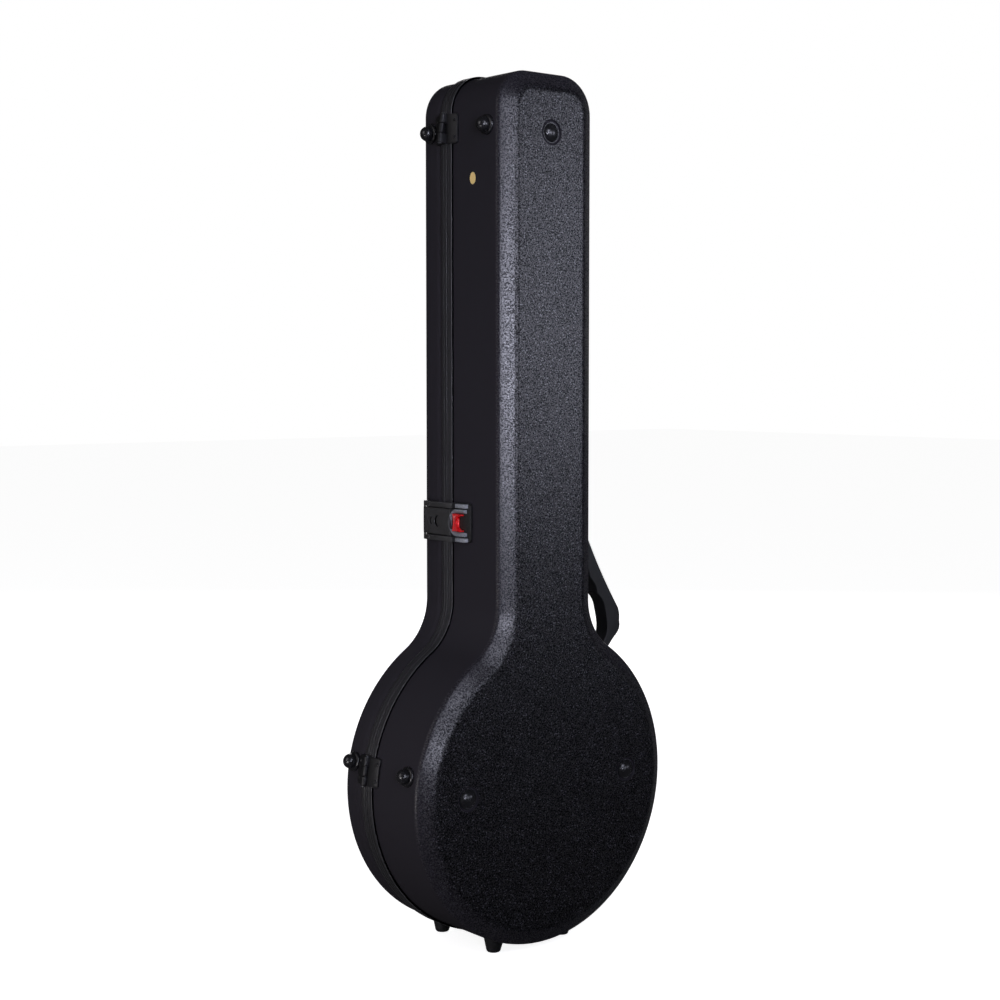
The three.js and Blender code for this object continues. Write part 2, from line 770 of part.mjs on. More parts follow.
function gripShape(span) {
  const fingerCount = Math.round((span - fingerStart - fingerEndReach) / fingerPitch);
  const fingersEnd = fingerStart + fingerCount * fingerPitch;
  const slope = (handleCornerRise - handleTopRise) / (span - handleCornerEnd);
  const outer = (x) => handleCornerRise - slope * (x - handleCornerEnd);
  const inner = (x) => outer(x) - handleGripDepth;
  const shape = new THREE.Shape();
  shape.moveTo(-handleBossRadius / 2, -handleBossRadius / 2);
  shape.lineTo(handleCornerStart - handleCornerDrop / 2, handleCornerRise - 2 * handleCornerDrop);
  shape.quadraticCurveTo(handleCornerStart, handleCornerRise - handleCornerDrop / 2,
    (handleCornerStart + handleCornerEnd) / 2, handleCornerRise - handleCornerDrop / 2);
  shape.quadraticCurveTo(handleCornerEnd, handleCornerRise + seatGap, handleCornerEnd + handleCornerDrop,
    outer(handleCornerEnd + handleCornerDrop));
  shape.lineTo(span - handleBossRadius, outer(span - handleBossRadius));
  shape.quadraticCurveTo(span, outer(span), span + handleBossRadius / 2, 0);
  shape.quadraticCurveTo(span, -handleBossRadius, span - handleBossRadius, -handleBossRadius);
  shape.quadraticCurveTo(fingersEnd + fingerPitch / 2, inner(fingersEnd), fingersEnd, inner(fingersEnd));
  for (let i = fingerCount - 1; i >= 0; i -= 1) {
    const [from, to] = [fingerStart + (i + 1) * fingerPitch, fingerStart + i * fingerPitch];
    const middle = (from + to) / 2;
    shape.quadraticCurveTo(middle, inner(middle) + 2 * fingerDepth, to, inner(to));
  }
  shape.quadraticCurveTo(handlePostWidth + handleBossRadius, inner(fingerStart), handlePostWidth,
    handleBossRadius / 2);
  shape.lineTo(handleBossRadius, -handleBossRadius / 2);
  return shape;
}

function buildHandle() {
  const { upper, lower } = handlePins();
  const span = upper.distanceTo(lower);
  const along = upper.clone().sub(lower).normalize();
  const yAxis = new THREE.Vector3(0, 1, 0);
  const out = yAxis.clone().cross(along);
  const group = frameGroup(along, out, yAxis, lower);
  const halfBoss = handleBossLength / 2;
  const earStart = halfBoss + runGap;
  const earEnd = earStart + bracketEar;
  const grip = extruded(gripShape(span), handleWidth - 2 * handleBevel, {
    curveSegments: 4,
    bevelEnabled: true,
    bevelThickness: handleBevel,
    bevelSize: handleBevel,
    bevelOffset: -handleBevel,
    bevelSegments: 2,
  }).translate(0, 0, handleBevel - handleWidth / 2);
  const ends = { lower: [0, -1, lower, handleLowerAngle], upper: [span, 1, upper, 0] };
  const seats = [0, span];
  const bosses = seats.map((x) => barAlongX(handleBossRadius, x - halfBoss, x + halfBoss));
  const bores = seats.map((x) => barAlongX(handlePinRadius + pinGap, x - overrun, x + overrun));
  addMesh(group, 'handle_grip', cut(join(grip, ...bosses), ...bores), materials.rubber);
  for (const [name, [x, far, pinPlace, wallTurn]] of Object.entries(ends)) {
    const between = (near, end) => [x + far * near, x + far * end].sort((a, b) => a - b);
    const [earFrom, earTo] = between(earStart, earEnd);
    const stem = block(
      [earFrom, -handlePinStand - bracketPlate, -handleBossRadius],
      [earTo, 0, handleBossRadius],
    );
    const plate = bracketPlateBox(wallTurn, pinPlace, far * (earStart + bracketEar / 2));
    const bore = barAlongX(handlePinRadius + pinGap, x - overrun, x + overrun);
    const toGroup = group.matrix.clone().invert();
    const whole = join(plate.applyMatrix4(toGroup), barAlongX(handleBossRadius, earFrom, earTo), stem);
    addMesh(group, `handle_bracket_${name}`, fitted(cut(whole, bore), group), materials.rubber);
    const pin = barAlongX(handlePinRadius, ...between(seatGap - halfBoss, earEnd));
    addMesh(group, `handle_pin_${name}`, pin, materials.pin);
  }
}

// A bracket's foot on the wall below a pin, moved along the wall to lie under the bracket's ear
function bracketPlateBox(wallTurn, pinPlace, shift) {
  const turn = THREE.MathUtils.degToRad(wallTurn);
  const wallOut = new THREE.Vector3(Math.cos(turn), 0, Math.sin(turn));
  const wallUp = new THREE.Vector3(-Math.sin(turn), 0, Math.cos(turn));
  const yAxis = new THREE.Vector3(0, 1, 0);
  const toWorld = new THREE.Matrix4().makeBasis(wallUp, wallOut, yAxis).setPosition(pinPlace);
  const plate = new THREE.BoxGeometry(bracketLength, 2 * bracketPlate, bracketWidth);
  return plate.translate(shift, -handlePinStand, 0).applyMatrix4(toWorld);
}

// Inside the case

function buildLinings() {
  const rimGap = valanceInnerHeight + liningRimGap;
  const outer = shellWall + seatGap;
  addMesh(part, 'base_lining', tray(-1, baseDepth, outer, baseLiningThickness, rimGap), materials.plush);
  addMesh(part, 'lid_lining', tray(1, lidDepth, outer, lidLiningThickness, rimGap), materials.plush);
}

// Half of a block's outline across the neck, from the floor of the base lining up to a level
function blockCorners(topReach) {
  const { side, face } = chamferEnds(shellWall + seatGap + baseLiningThickness);
  return [
    [neckHalf - face[0] - seatGap, face[1] + seatGap - baseDepth],
    [neckHalf - side[0] - seatGap, side[1] + seatGap - baseDepth],
    [neckHalf - side[0] - seatGap, -topReach],
  ];
}

function foamBlock(topReach, length, notched) {
  const right = blockCorners(topReach);
  const shape = new THREE.Shape();
  shape.moveTo(-right[0][0], right[0][1]);
  right.forEach(([x, y]) => shape.lineTo(x, y));
  if (notched) {
    const floor = -neckNotchFloorReach;
    shape.lineTo(neckNotchHalfWidth, -topReach);
    shape.lineTo(neckNotchHalfWidth, floor + neckNotchRound);
    shape.quadraticCurveTo(neckNotchHalfWidth, floor, neckNotchHalfWidth - neckNotchRound, floor);
    shape.lineTo(neckNotchRound - neckNotchHalfWidth, floor);
    shape.quadraticCurveTo(-neckNotchHalfWidth, floor, -neckNotchHalfWidth, floor + neckNotchRound);
    shape.lineTo(-neckNotchHalfWidth, -topReach);
  }
  [...right].reverse().slice(0, 2).forEach(([x, y]) => shape.lineTo(-x, y));
  return extruded(shape, length);
}

// Where the compartment and the upper cradle start, between the lower cradle and the head block
function blockPlaces() {
  const lowerEnd = lowerCradleHeight + cradleLength;
  const free = headBlockHeight - lowerEnd - compartmentLength - cradleLength;
  const total = freeLengthShares.reduce((sum, share) => sum + share);
  const compartment = lowerEnd + (free * freeLengthShares[0]) / total;
  const compartmentEnd = compartment + compartmentLength;
  return { compartment, upperCradle: compartmentEnd + (free * freeLengthShares[1]) / total };
}

function buildBlocks() {
  const cradle = foamBlock(blockTopReach, cradleLength, true);
  for (const [name, height] of [['lower', lowerCradleHeight], ['upper', blockPlaces().upperCradle]]) {
    addMesh(part, `neck_cradle_${name}`, cradle.clone(), materials.plush).position.z = height;
  }
  const headBlock = foamBlock(headBlockTopReach, headBlockLength, false);
  addMesh(part, 'head_block', headBlock, materials.plush).position.z = headBlockHeight;
}

function buildCompartment() {
  const group = new THREE.Group();
  group.position.z = blockPlaces().compartment;
  part.add(group);
  const [[cornerHalf, floor], [half]] = blockCorners(compartmentTopReach);
  const cavityHalf = cornerHalf;
  const top = -compartmentTopReach;
  const cavity = block([-cavityHalf, floor + compartmentWall, compartmentWall],
    [cavityHalf, overrun, compartmentLength - compartmentWall]);
  const pinY = top + compartmentKnuckleRadius + runGap;
  const pinZ = compartmentLength - compartmentKnuckleRadius - runGap;
  const earLow = compartmentLength - compartmentEarLength;
  const ears = [[-half, compartmentEar - half], [half - compartmentEar, half]]
    .map(([from, to]) => block([from, top - compartmentWall, earLow],
      [to, pinY + compartmentKnuckleRadius, compartmentLength]));
  const boreEnd = half + overrun;
  const bore = barAlongX(compartmentPinRadius + pinGap, -boreEnd, boreEnd).translate(0, pinY, pinZ);
  const box = cut(foamBlock(compartmentTopReach, compartmentLength, false), cavity);
  addMesh(group, 'compartment_box', cut(join(box, ...ears), bore), materials.plush);
  const lidHalf = half - compartmentEar - runGap;
  const knuckle = barAlongX(compartmentKnuckleRadius, -lidHalf, lidHalf).translate(0, pinY, pinZ);
  const plate = block([-lidHalf, top + seatGap, 0], [lidHalf, top + seatGap + compartmentLidThickness, pinZ]);
  const tab = block([-compartmentTabWidth / 2, top + seatGap, -compartmentTabLength],
    [compartmentTabWidth / 2, top + seatGap + compartmentTabThickness, compartmentWall]);
  addMesh(group, 'compartment_lid', cut(join(plate, knuckle, tab), bore), materials.plush);
  const pin = barAlongX(compartmentPinRadius, seatGap - half, half - seatGap).translate(0, pinY, pinZ);
  addMesh(group, 'compartment_pin', pin, materials.pin);
}

buildShells();
buildValances();
buildHinges();
buildStuds();
buildBackFeet();
buildEndFeet();
buildLatches();
buildHandle();
buildLinings();
buildBlocks();
buildCompartment();

export default part;
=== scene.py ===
import math

import bmesh
import bpy
import numpy as np
from mathutils import Matrix, Vector


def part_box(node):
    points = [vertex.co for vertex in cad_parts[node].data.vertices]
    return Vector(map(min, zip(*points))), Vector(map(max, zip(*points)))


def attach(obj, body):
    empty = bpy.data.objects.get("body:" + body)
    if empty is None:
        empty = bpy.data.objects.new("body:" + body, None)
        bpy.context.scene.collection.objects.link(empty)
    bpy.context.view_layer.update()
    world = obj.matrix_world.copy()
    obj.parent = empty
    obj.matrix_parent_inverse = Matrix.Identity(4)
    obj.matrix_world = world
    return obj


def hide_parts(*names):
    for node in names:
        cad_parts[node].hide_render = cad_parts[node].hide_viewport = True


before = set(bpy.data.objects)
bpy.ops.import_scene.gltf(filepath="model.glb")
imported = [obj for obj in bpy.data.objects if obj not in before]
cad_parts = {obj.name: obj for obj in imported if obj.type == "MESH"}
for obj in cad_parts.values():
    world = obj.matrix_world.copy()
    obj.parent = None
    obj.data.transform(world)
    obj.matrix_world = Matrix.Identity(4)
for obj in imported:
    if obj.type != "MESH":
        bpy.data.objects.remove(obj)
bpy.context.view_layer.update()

# Camera
# It stands where the photograph was taken: left of the case, a little above its middle, aimed at
# the neck below the latch. Turn, rise, distance and lens were fitted to the case's silhouette.
seam_gap = 0.0002
seam_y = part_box("lid_valance")[0][1] - seam_gap
ground_to_pot = -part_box("end_foot_base_left")[0][2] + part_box("base_shell")[0][2]
photo_turn = math.radians(-39.08)
photo_rise = math.radians(4.05)
photo_distance = 2.195
photo_aim = Vector((0.0073, seam_y, 0.5374 + ground_to_pot))
photo_lens = 63.32
sensor_width = 36.0

camera_data = bpy.data.cameras.new("photo_camera")
camera_data.lens = photo_lens
camera_data.sensor_width = sensor_width
camera_data.clip_end = 50.0
camera = bpy.data.objects.new("photo_camera", camera_data)
bpy.context.scene.collection.objects.link(camera)
camera_back = Vector((
    math.sin(photo_turn) * math.cos(photo_rise),
    -math.cos(photo_turn) * math.cos(photo_rise),
    math.sin(photo_rise),
))
camera.location = photo_aim + camera_back * photo_distance
camera.rotation_euler = (-camera_back).to_track_quat("-Z", "Y").to_euler()
bpy.context.scene.camera = camera
bpy.context.scene.view_settings.view_transform = "Standard"

# Studio
# A white sweep under and behind the case. Gridded soft boxes in front shine on the left band, on
# the face and on the rounding between them. Others stand above them, at the left, low beside the
# pot and behind the lid.
floor_size = 30.0
floor_color = (0.9, 0.9, 0.9, 1.0)
floor_bounce = (0.16, 0.16, 0.16, 1.0)
floor_glow = 0.87
floor_drop = 0.0005
ambient_light = 0.11
gloss_light = 0.04
backdrop_half_angle = math.radians(22.0)
cool_light = (0.81, 0.83, 1.0)
plain_light = (1.0, 0.96, 0.99)


def new_material(name):
    """An empty node material with its Principled shader and output, returned with its node tree."""
    material = bpy.data.materials.new(name)
    material.use_nodes = True
    tree = material.node_tree
    return material, tree, tree.nodes["Principled BSDF"]


def set_sockets(tree, node, sockets):
    """Sets a node's inputs, by name or number, each to a value or to another node's output."""
    for name, given in sockets.items():
        if isinstance(given, bpy.types.NodeSocket):
            tree.links.new(given, node.inputs[name])
        else:
            node.inputs[name].default_value = given


def add_node(tree, kind, inputs=None, **settings):
    """One node, with its settings, and its inputs set to values or fed by other nodes' outputs."""
    node = tree.nodes.new(kind)
    for key, value in settings.items():
        setattr(node, key, value)
    set_sockets(tree, node, inputs or {})
    return node


def mixed(tree, factor, first, second):
    """A colour between a first and a second one, by a factor."""
    return add_node(tree, "ShaderNodeMix", {0: factor, 6: first, 7: second}, data_type="RGBA").outputs[2]


def mapped(tree, value, start=0.0, end=1.0, low=0.0, high=1.0):
    """A value whose range from start to end is stretched to one from low to high."""
    limits = {"From Min": start, "From Max": end, "To Min": low, "To Max": high}
    return add_node(tree, "ShaderNodeMapRange", {"Value": value, **limits}).outputs["Result"]


def worked_out(tree, operation, *values):
    """What a sum, product or the like of two or three values comes to."""
    return add_node(tree, "ShaderNodeMath", dict(enumerate(values)), operation=operation).outputs[0]


def dot_product(tree, first, second):
    """How far two directions are alike: 1 for the same way, 0 square, -1 for the opposite way."""
    product = add_node(tree, "ShaderNodeVectorMath", {0: first, 1: second}, operation="DOT_PRODUCT")
    return product.outputs["Value"]


def seen_directly(tree):
    """1 for the camera's own rays, also behind glass, and 0 for the rest."""
    path = add_node(tree, "ShaderNodeLightPath").outputs
    return worked_out(tree, "MAXIMUM", path["Is Camera Ray"], path["Is Transmission Ray"])


def rectangle(left, right, low, high):
    """The corners of a rectangle, in order."""
    return [(left, low), (right, low), (right, high), (left, high)]


half_floor = floor_size / 2
floor_corners = [(x, y, 0) for x, y in rectangle(-half_floor, half_floor, -half_floor, half_floor)]
floor_mesh = bpy.data.meshes.new("floor")
floor_mesh.from_pydata(floor_corners, [], [(0, 1, 2, 3)])
floor = bpy.data.objects.new("floor", floor_mesh)
floor.location.z = -floor_drop
bpy.context.scene.collection.objects.link(floor)
floor_material, floor_tree, floor_shader = new_material("floor_paper")
floor_seen = seen_directly(floor_tree)
set_sockets(floor_tree, floor_shader, {
    "Base Color": mixed(floor_tree, floor_seen, floor_bounce, floor_color),
    "Roughness": 0.9,
    "Specular IOR Level": 0.0,
    "Emission Color": (1.0, 1.0, 1.0, 1.0),
    "Emission Strength": worked_out(floor_tree, "MULTIPLY", floor_seen, floor_glow),
})
floor_mesh.materials.append(floor_material)

# World
# Plain white to the camera. The case itself is lit by a low even light, and its gloss shows the
# white backdrop only where that stands, in a cone behind the case as the camera sees it.
world = bpy.data.worlds.new("studio")
bpy.context.scene.world = world
world.use_nodes = True
world_tree = world.node_tree
world_tree.nodes.clear()
direction = add_node(world_tree, "ShaderNodeTexCoord").outputs["Generated"]
towards = dot_product(world_tree, direction, (-camera_back.x, -camera_back.y, 0.0))
backdrop_edge = math.cos(backdrop_half_angle * 1.2)
behind = mapped(world_tree, towards, backdrop_edge, math.cos(backdrop_half_angle))
in_gloss = mapped(world_tree, behind, low=gloss_light)
glossy_ray = add_node(world_tree, "ShaderNodeLightPath").outputs["Is Glossy Ray"]
shares = {0: glossy_ray, 2: ambient_light, 3: in_gloss}
strength = add_node(world_tree, "ShaderNodeMix", shares, data_type="FLOAT")
world_light = add_node(world_tree, "ShaderNodeBackground", {
    "Color": (1.0, 1.0, 1.0, 1.0),
    "Strength": worked_out(world_tree, "MAXIMUM", seen_directly(world_tree), strength.outputs[0]),
})
add_node(world_tree, "ShaderNodeOutputWorld", {"Surface": world_light.outputs[0]})


def soft_box(name, place, aim, width, height, watts, color, spread=180.0):
    """A rectangular lamp at a place, facing another, its light kept to a cone of a spread."""
    lamp = bpy.data.lights.new(name, "AREA")
    lamp.color = color
    lamp.spread = math.radians(spread)
    lamp.shape = "RECTANGLE"
    lamp.size = width
    lamp.size_y = height
    lamp.energy = watts
    holder = bpy.data.objects.new(name, lamp)
    holder.location = place
    holder.rotation_euler = (Vector(aim) - Vector(place)).to_track_quat("-Z", "Y").to_euler()
    bpy.context.scene.collection.objects.link(holder)


soft_box("front_box", (-1.15, -2.3, 0.75), (0, 0, 0.77), 0.5, 0.5, 1.75, cool_light, 40.0)
soft_box("upper_box", (-0.7, -2.2, 1.75), (0, 0, 0.5), 0.7, 0.5, 14.0, cool_light)
soft_box("neck_box", (1.45, -1.8, 0.95), (0, 0, 0.87), 0.5, 1.0, 0.69, cool_light, 42.0)
soft_box("middle_box", (0.2, -2.35, 0.95), (0, 0, 0.87), 0.6, 0.9, 1.1, cool_light, 42.0)
soft_box("back_box", (1.9, 2.3, 1.6), (0, 0, 0.5), 1.4, 1.4, 26.0, plain_light)
soft_box("low_box", (-1.5, -0.2, 0.12), (-0.1, 0, 0.15), 0.6, 0.2, 1.5, plain_light, 90.0)
soft_box("left_box", (-2.6, 0.4, 1.6), (0, 0, 0.5), 1.2, 1.6, 13.5, plain_light)

# Shells
# Two trays moulded from sheet ABS, black right through: a deep base and a shallow lid. The faces
# and the slanted band round them carry a pebble grain, and the side walls a much finer one.
case_length = 1.05
neck_half = 0.0728
pot_radius = 0.194
corner_radius = 0.045
shoulder_radius = 0.075
base_depth = 0.106
lid_depth = 0.0596
band_inset = 0.0204
band_depth = 0.0127
band_round = 0.004
wall = 0.003
rim_gap = 0.0052
grain_fade = 0.004
band_smoothness = 0.72
back_feet = {"left": (-0.1256, 0.1987), "right": (0.1256, 0.1987), "top": (0.0, case_length - 0.0713)}
recess_radius = 0.0148
recess_depth = 0.0014
recess_floor = -0.0007
recess_round = 0.0008
recess_top = 0.003
recess_margin = 0.0012
recess_profile = [
    (0, recess_floor), (recess_radius - recess_round, recess_floor),
    (recess_radius, recess_floor + recess_round), (recess_radius, recess_round),
    (recess_radius + 0.0003, 0.0012), (recess_radius + 0.0007, 0.0015),
    (recess_radius + recess_round, recess_top), (0, recess_top),
]
shoulder_x = neck_half + shoulder_radius
shoulder_z = pot_radius + math.sqrt((pot_radius + shoulder_radius) ** 2 - shoulder_x ** 2)
shoulder_angle = math.atan2(shoulder_z - pot_radius, shoulder_x)


def arc(centre, radius, start, end, steps):
    """Points on an arc: centre plus radius times the cosine and sine of evenly spaced angles."""
    angle = np.linspace(start, end, steps + 1)
    return np.stack([centre[0] + radius * np.cos(angle), centre[1] + radius * np.sin(angle)], axis=1)


def outline(inset):
    """The case's outline, moved inwards by an inset: half of it as arcs of pot, shoulder and top
    corner with straight stretches between, then its mirror image. Returns rows of x and z."""
    corner = (neck_half - corner_radius, case_length - corner_radius)
    turned = math.pi + shoulder_angle
    shoulder = arc((shoulder_x, shoulder_z), shoulder_radius + inset, turned, math.pi, 24)
    side = np.linspace(shoulder[-1], (neck_half - inset, corner[1]), 12)
    top = arc(corner, corner_radius - inset, 0.0, math.pi / 2, 16)
    middle = np.linspace(top[-1], (0.0, case_length - inset), 6)
    right = np.concatenate([
        arc((0.0, pot_radius), pot_radius - inset, -math.pi / 2, shoulder_angle, 96),
        shoulder[1:], side[1:], top[1:], middle[1:],
    ])
    left = right[1:-1][::-1] * (-1.0, 1.0)
    return np.concatenate([right, left])


def ring_rows(profile, side):
    """The outline carried along a profile of (inset, distance from the seam): one row of points
    for each profile point, on the lid's side of the seam for side 1 and the base's for -1."""
    rows = [np.insert(outline(inset), 1, seam_y + side * reach, axis=1) for inset, reach in profile]
    return np.array(rows) + (0.0, 0.0, ground_to_pot)


def grid_mesh(name, rows, ends="capped"):
    """A mesh over a grid of points, closed round each row. Its first and last rows are capped, or
    joined to each other, or left open, and its faces are turned outwards."""
    count, across = rows.shape[:2]
    strips = np.arange(count if ends == "joined" else count - 1)
    ring = np.arange(across)
    i, j = np.meshgrid(strips, ring, indexing="ij")
    below = i * across
    above = ((i + 1) % count) * across
    after = (j + 1) % across
    quads = np.stack([below + j, below + after, above + after, above + j], axis=-1).reshape(-1, 4)
    faces = quads.tolist()
    if ends == "capped":
        faces += [ring[::-1].tolist(), (ring + (count - 1) * across).tolist()]
    mesh = bpy.data.meshes.new(name)
    mesh.from_pydata(rows.reshape(-1, 3).tolist(), [], faces)
    return outward(mesh)


def outward(mesh):
    """The same mesh with every face turned outwards and shaded smooth."""
    work = bmesh.new()
    work.from_mesh(mesh)
    bmesh.ops.remove_doubles(work, verts=work.verts, dist=1e-7)
    bmesh.ops.dissolve_degenerate(work, edges=work.edges, dist=1e-8)
    bmesh.ops.recalc_face_normals(work, faces=work.faces)
    work.to_mesh(mesh)
    work.free()
    mesh.shade_smooth()
    return mesh


def sharpened(mesh, degrees=35.0):
    """The same mesh, with its edges sharper than an angle shaded sharp."""
    work = bmesh.new()
    work.from_mesh(mesh)
    limit = math.radians(degrees)
    for edge in work.edges:
        edge.smooth = len(edge.link_faces) != 2 or edge.calc_face_angle(0.0) < limit
    work.to_mesh(mesh)
    work.free()
    return mesh


def add_piece(name, mesh, material, body, slot, *replaced):
    """Puts a finished mesh in the scene as a piece that rides on a body and stands for CAD nodes."""
    piece = bpy.data.objects.new(name, mesh)
    bpy.context.scene.collection.objects.link(piece)
    mesh.materials.clear()
    mesh.materials.append(material)
    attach(piece, body)
    if replaced:
        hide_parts(*replaced)
    return piece


def band_ends(depth):
    """Where the surface parallel to the slanted band, at a depth inside the shell, meets the side
    and the face: as (inset, distance from the face)."""
    slope = math.hypot(band_inset, band_depth)
    offset = band_inset * band_depth + depth * slope
    side = (depth, (offset - band_depth * depth) / band_inset)
    face = ((offset - band_inset * depth) / band_depth, depth)
    return np.array(side), np.array(face)


def quadratic(start, control, end, steps=10):
    """Points of a quadratic curve: the start times the square of the way left, the control point
    times twice the way left and gone, and the end times the square of the way gone, summed."""
    start, control, end = (np.array(p, float) for p in (start, control, end))
    t = np.linspace(0, 1, steps + 1)[:, None]
    return (1 - t) ** 2 * start + 2 * t * (1 - t) * control + t ** 2 * end


def rounded(before, corner, after, reach):
    """A corner rounded off by a quadratic curve that starts and ends a reach away from it."""
    before, corner, after = (np.array(p, float) for p in (before, corner, after))
    start = corner + (before - corner) / np.linalg.norm(before - corner) * reach
    end = corner + (after - corner) / np.linalg.norm(after - corner) * reach
    return quadratic(start, corner, end, 6)


def shell_profile(depth):
    """The tray's section as (inset, distance from the seam), from the middle of the face over the
    slanted band and the side to the rim, then back along the inside."""
    side, face = band_ends(0.0)
    inner_side, inner_face = band_ends(wall)
    rim = depth - rim_gap
    outer = np.concatenate([
        [face + (0.012, 0.0)],
        rounded(face + (0.02, 0.0), face, side, band_round),
        rounded(face, side, (0.0, rim), band_round),
        [(0.0, side[1] + grain_fade + 0.002), (0.0, side[1] + 0.02), (0.0, rim)],
    ])
    inner = np.array([(wall, rim), inner_side, inner_face, inner_face + (0.012, 0.0)])
    both = np.concatenate([outer, inner])
    return both * (1.0, -1.0) + (0.0, depth)


def noise(tree, **inputs):
    """A noise over the piece's own coordinates."""
    place = add_node(tree, "ShaderNodeTexCoord").outputs["Object"]
    return add_node(tree, "ShaderNodeTexNoise", {"Vector": place, **inputs}).outputs["Fac"]


def attribute(tree, name):
    """A value that the mesh carries under a name."""
    return add_node(tree, "ShaderNodeAttribute", attribute_name=name).outputs["Fac"]


def bumped(tree, height, strength, distance):
    """The surface's direction where a height stands out of it."""
    bump = add_node(tree, "ShaderNodeBump", {"Strength": strength, "Distance": distance, "Height": height})
    return bump.outputs["Normal"]


def new_group(name, given, made):
    """An empty node group with float inputs and outputs of the names given, and its end nodes."""
    group = bpy.data.node_groups.new(name, "ShaderNodeTree")
    for labels, way in ((given, "INPUT"), (made, "OUTPUT")):
        for label in labels:
            group.interface.new_socket(label, in_out=way, socket_type="NodeSocketFloat")
    return group, add_node(group, "NodeGroupInput"), add_node(group, "NodeGroupOutput")


def grain_group():
    """Node group: moulded grain. A distorted noise is cut into flat-topped pebbles with sunk
    valleys between them; a finer noise roughens both. Puts out the height and the pebble tops."""
    group, given, made = new_group("moulded_grain", ["Scale"], ["Height", "Tops"])
    scale = given.outputs["Scale"]
    pebbles = noise(group, Scale=scale, Detail=1.0, Roughness=0.5, Distortion=0.25)
    tops = add_node(group, "ShaderNodeMapRange", {"Value": pebbles, "From Min": 0.36, "From Max": 0.64},
                    interpolation_type="SMOOTHSTEP").outputs["Result"]
    pits = noise(group, Scale=worked_out(group, "MULTIPLY", scale, 2.7), Detail=2.0, Roughness=0.6)
    set_sockets(group, made, {"Height": worked_out(group, "MULTIPLY_ADD", pits, 0.07, tops), "Tops": tops})
    return group


grain = grain_group()


def use_group(tree, group, **inputs):
    """A node group placed in a material, with its inputs set by name."""
    return add_node(tree, "ShaderNodeGroup", inputs, node_tree=group).outputs


def shell_plastic():
    """Black ABS. Where the grain attribute is 1 it has pebbles, glossy on top and dull between, with
    painted shade that darkens the pits between them and pale specks that are painted glints; where it is 0
    a fine matte skin."""
    material, tree, shader = new_material("shell_plastic")
    where = attribute(tree, "grain")
    pebbles = use_group(tree, grain, Scale=580.0)
    fine = use_group(tree, grain, Scale=1500.0)
    # Pits between the pebbles are coloured darker than their tops: painted shade in the grain's hollows.
    mottle = mixed(tree, pebbles["Tops"], (0.001, 0.001, 0.0014, 1.0), (0.003, 0.003, 0.0042, 1.0))
    # Pale specks scattered over the grain: painted glints of light.
    painted_glints = mapped(tree, noise(tree, Scale=560.0, Detail=0.0), 0.66, 0.76)
    pebbled = mixed(tree, painted_glints, mottle, (0.1, 0.1, 0.115, 1.0))
    glossy = mapped(tree, where, end=0.42)
    coarse = worked_out(tree, "MULTIPLY", pebbles["Height"], where)
    height = worked_out(tree, "MULTIPLY_ADD", fine["Height"], 0.02, coarse)
    set_sockets(tree, shader, {
        "Base Color": mixed(tree, where, (0.0215, 0.0198, 0.0245, 1.0), pebbled),
        "Specular IOR Level": 0.08,
        "Roughness": mapped(tree, glossy, low=0.62, high=0.32),
        "Coat Weight": worked_out(tree, "MULTIPLY", pebbles["Tops"], glossy),
        "Coat Roughness": 0.33,
        "Normal": bumped(tree, height, 1.0, 0.00015),
    })
    return material


def revolved(profile, steps=48):
    """A profile of (radius, height) turned about local z: radius times cosine and sine of the
    turning angle. Points at zero radius close it."""
    flat = np.asarray(profile, float)
    angle = np.linspace(0, 2 * np.pi, steps, endpoint=False)
    rows = np.stack([
        flat[:, :1] * np.cos(angle), flat[:, :1] * np.sin(angle), np.repeat(flat[:, 1:], steps, axis=1),
    ], axis=-1)
    return grid_mesh("revolved", rows, ends="open")


def carved(mesh, *cutters):
    """The mesh with other closed meshes cut away from it."""
    body = bpy.data.objects.new("carved", mesh)
    bpy.context.scene.collection.objects.link(body)
    tools = []
    for cutter in cutters:
        tool = bpy.data.objects.new("cutter", cutter)
        bpy.context.scene.collection.objects.link(tool)
        tools.append(tool)
        cut = body.modifiers.new("cut", "BOOLEAN")
        cut.operation = "DIFFERENCE"
        cut.solver = "EXACT"
        cut.object = tool
    graph = bpy.context.evaluated_depsgraph_get()
    result = bpy.data.meshes.new_from_object(body.evaluated_get(graph))
    for leftover in (body, *tools):
        bpy.data.objects.remove(leftover)
    return result


def read_values(items, name, width=3):
    """What the vertices or faces of a mesh have under a name, as rows."""
    values = np.empty(len(items) * width)
    items.foreach_get(name, values)
    return values.reshape(-1, width)


def write_attribute(mesh, name, domain, values):
    """Gives the points or faces of a mesh values under a name, which a material can read."""
    attribute_data = mesh.attributes.new(name, "FLOAT", domain).data
    attribute_data.foreach_set("value", values.astype(np.float32))


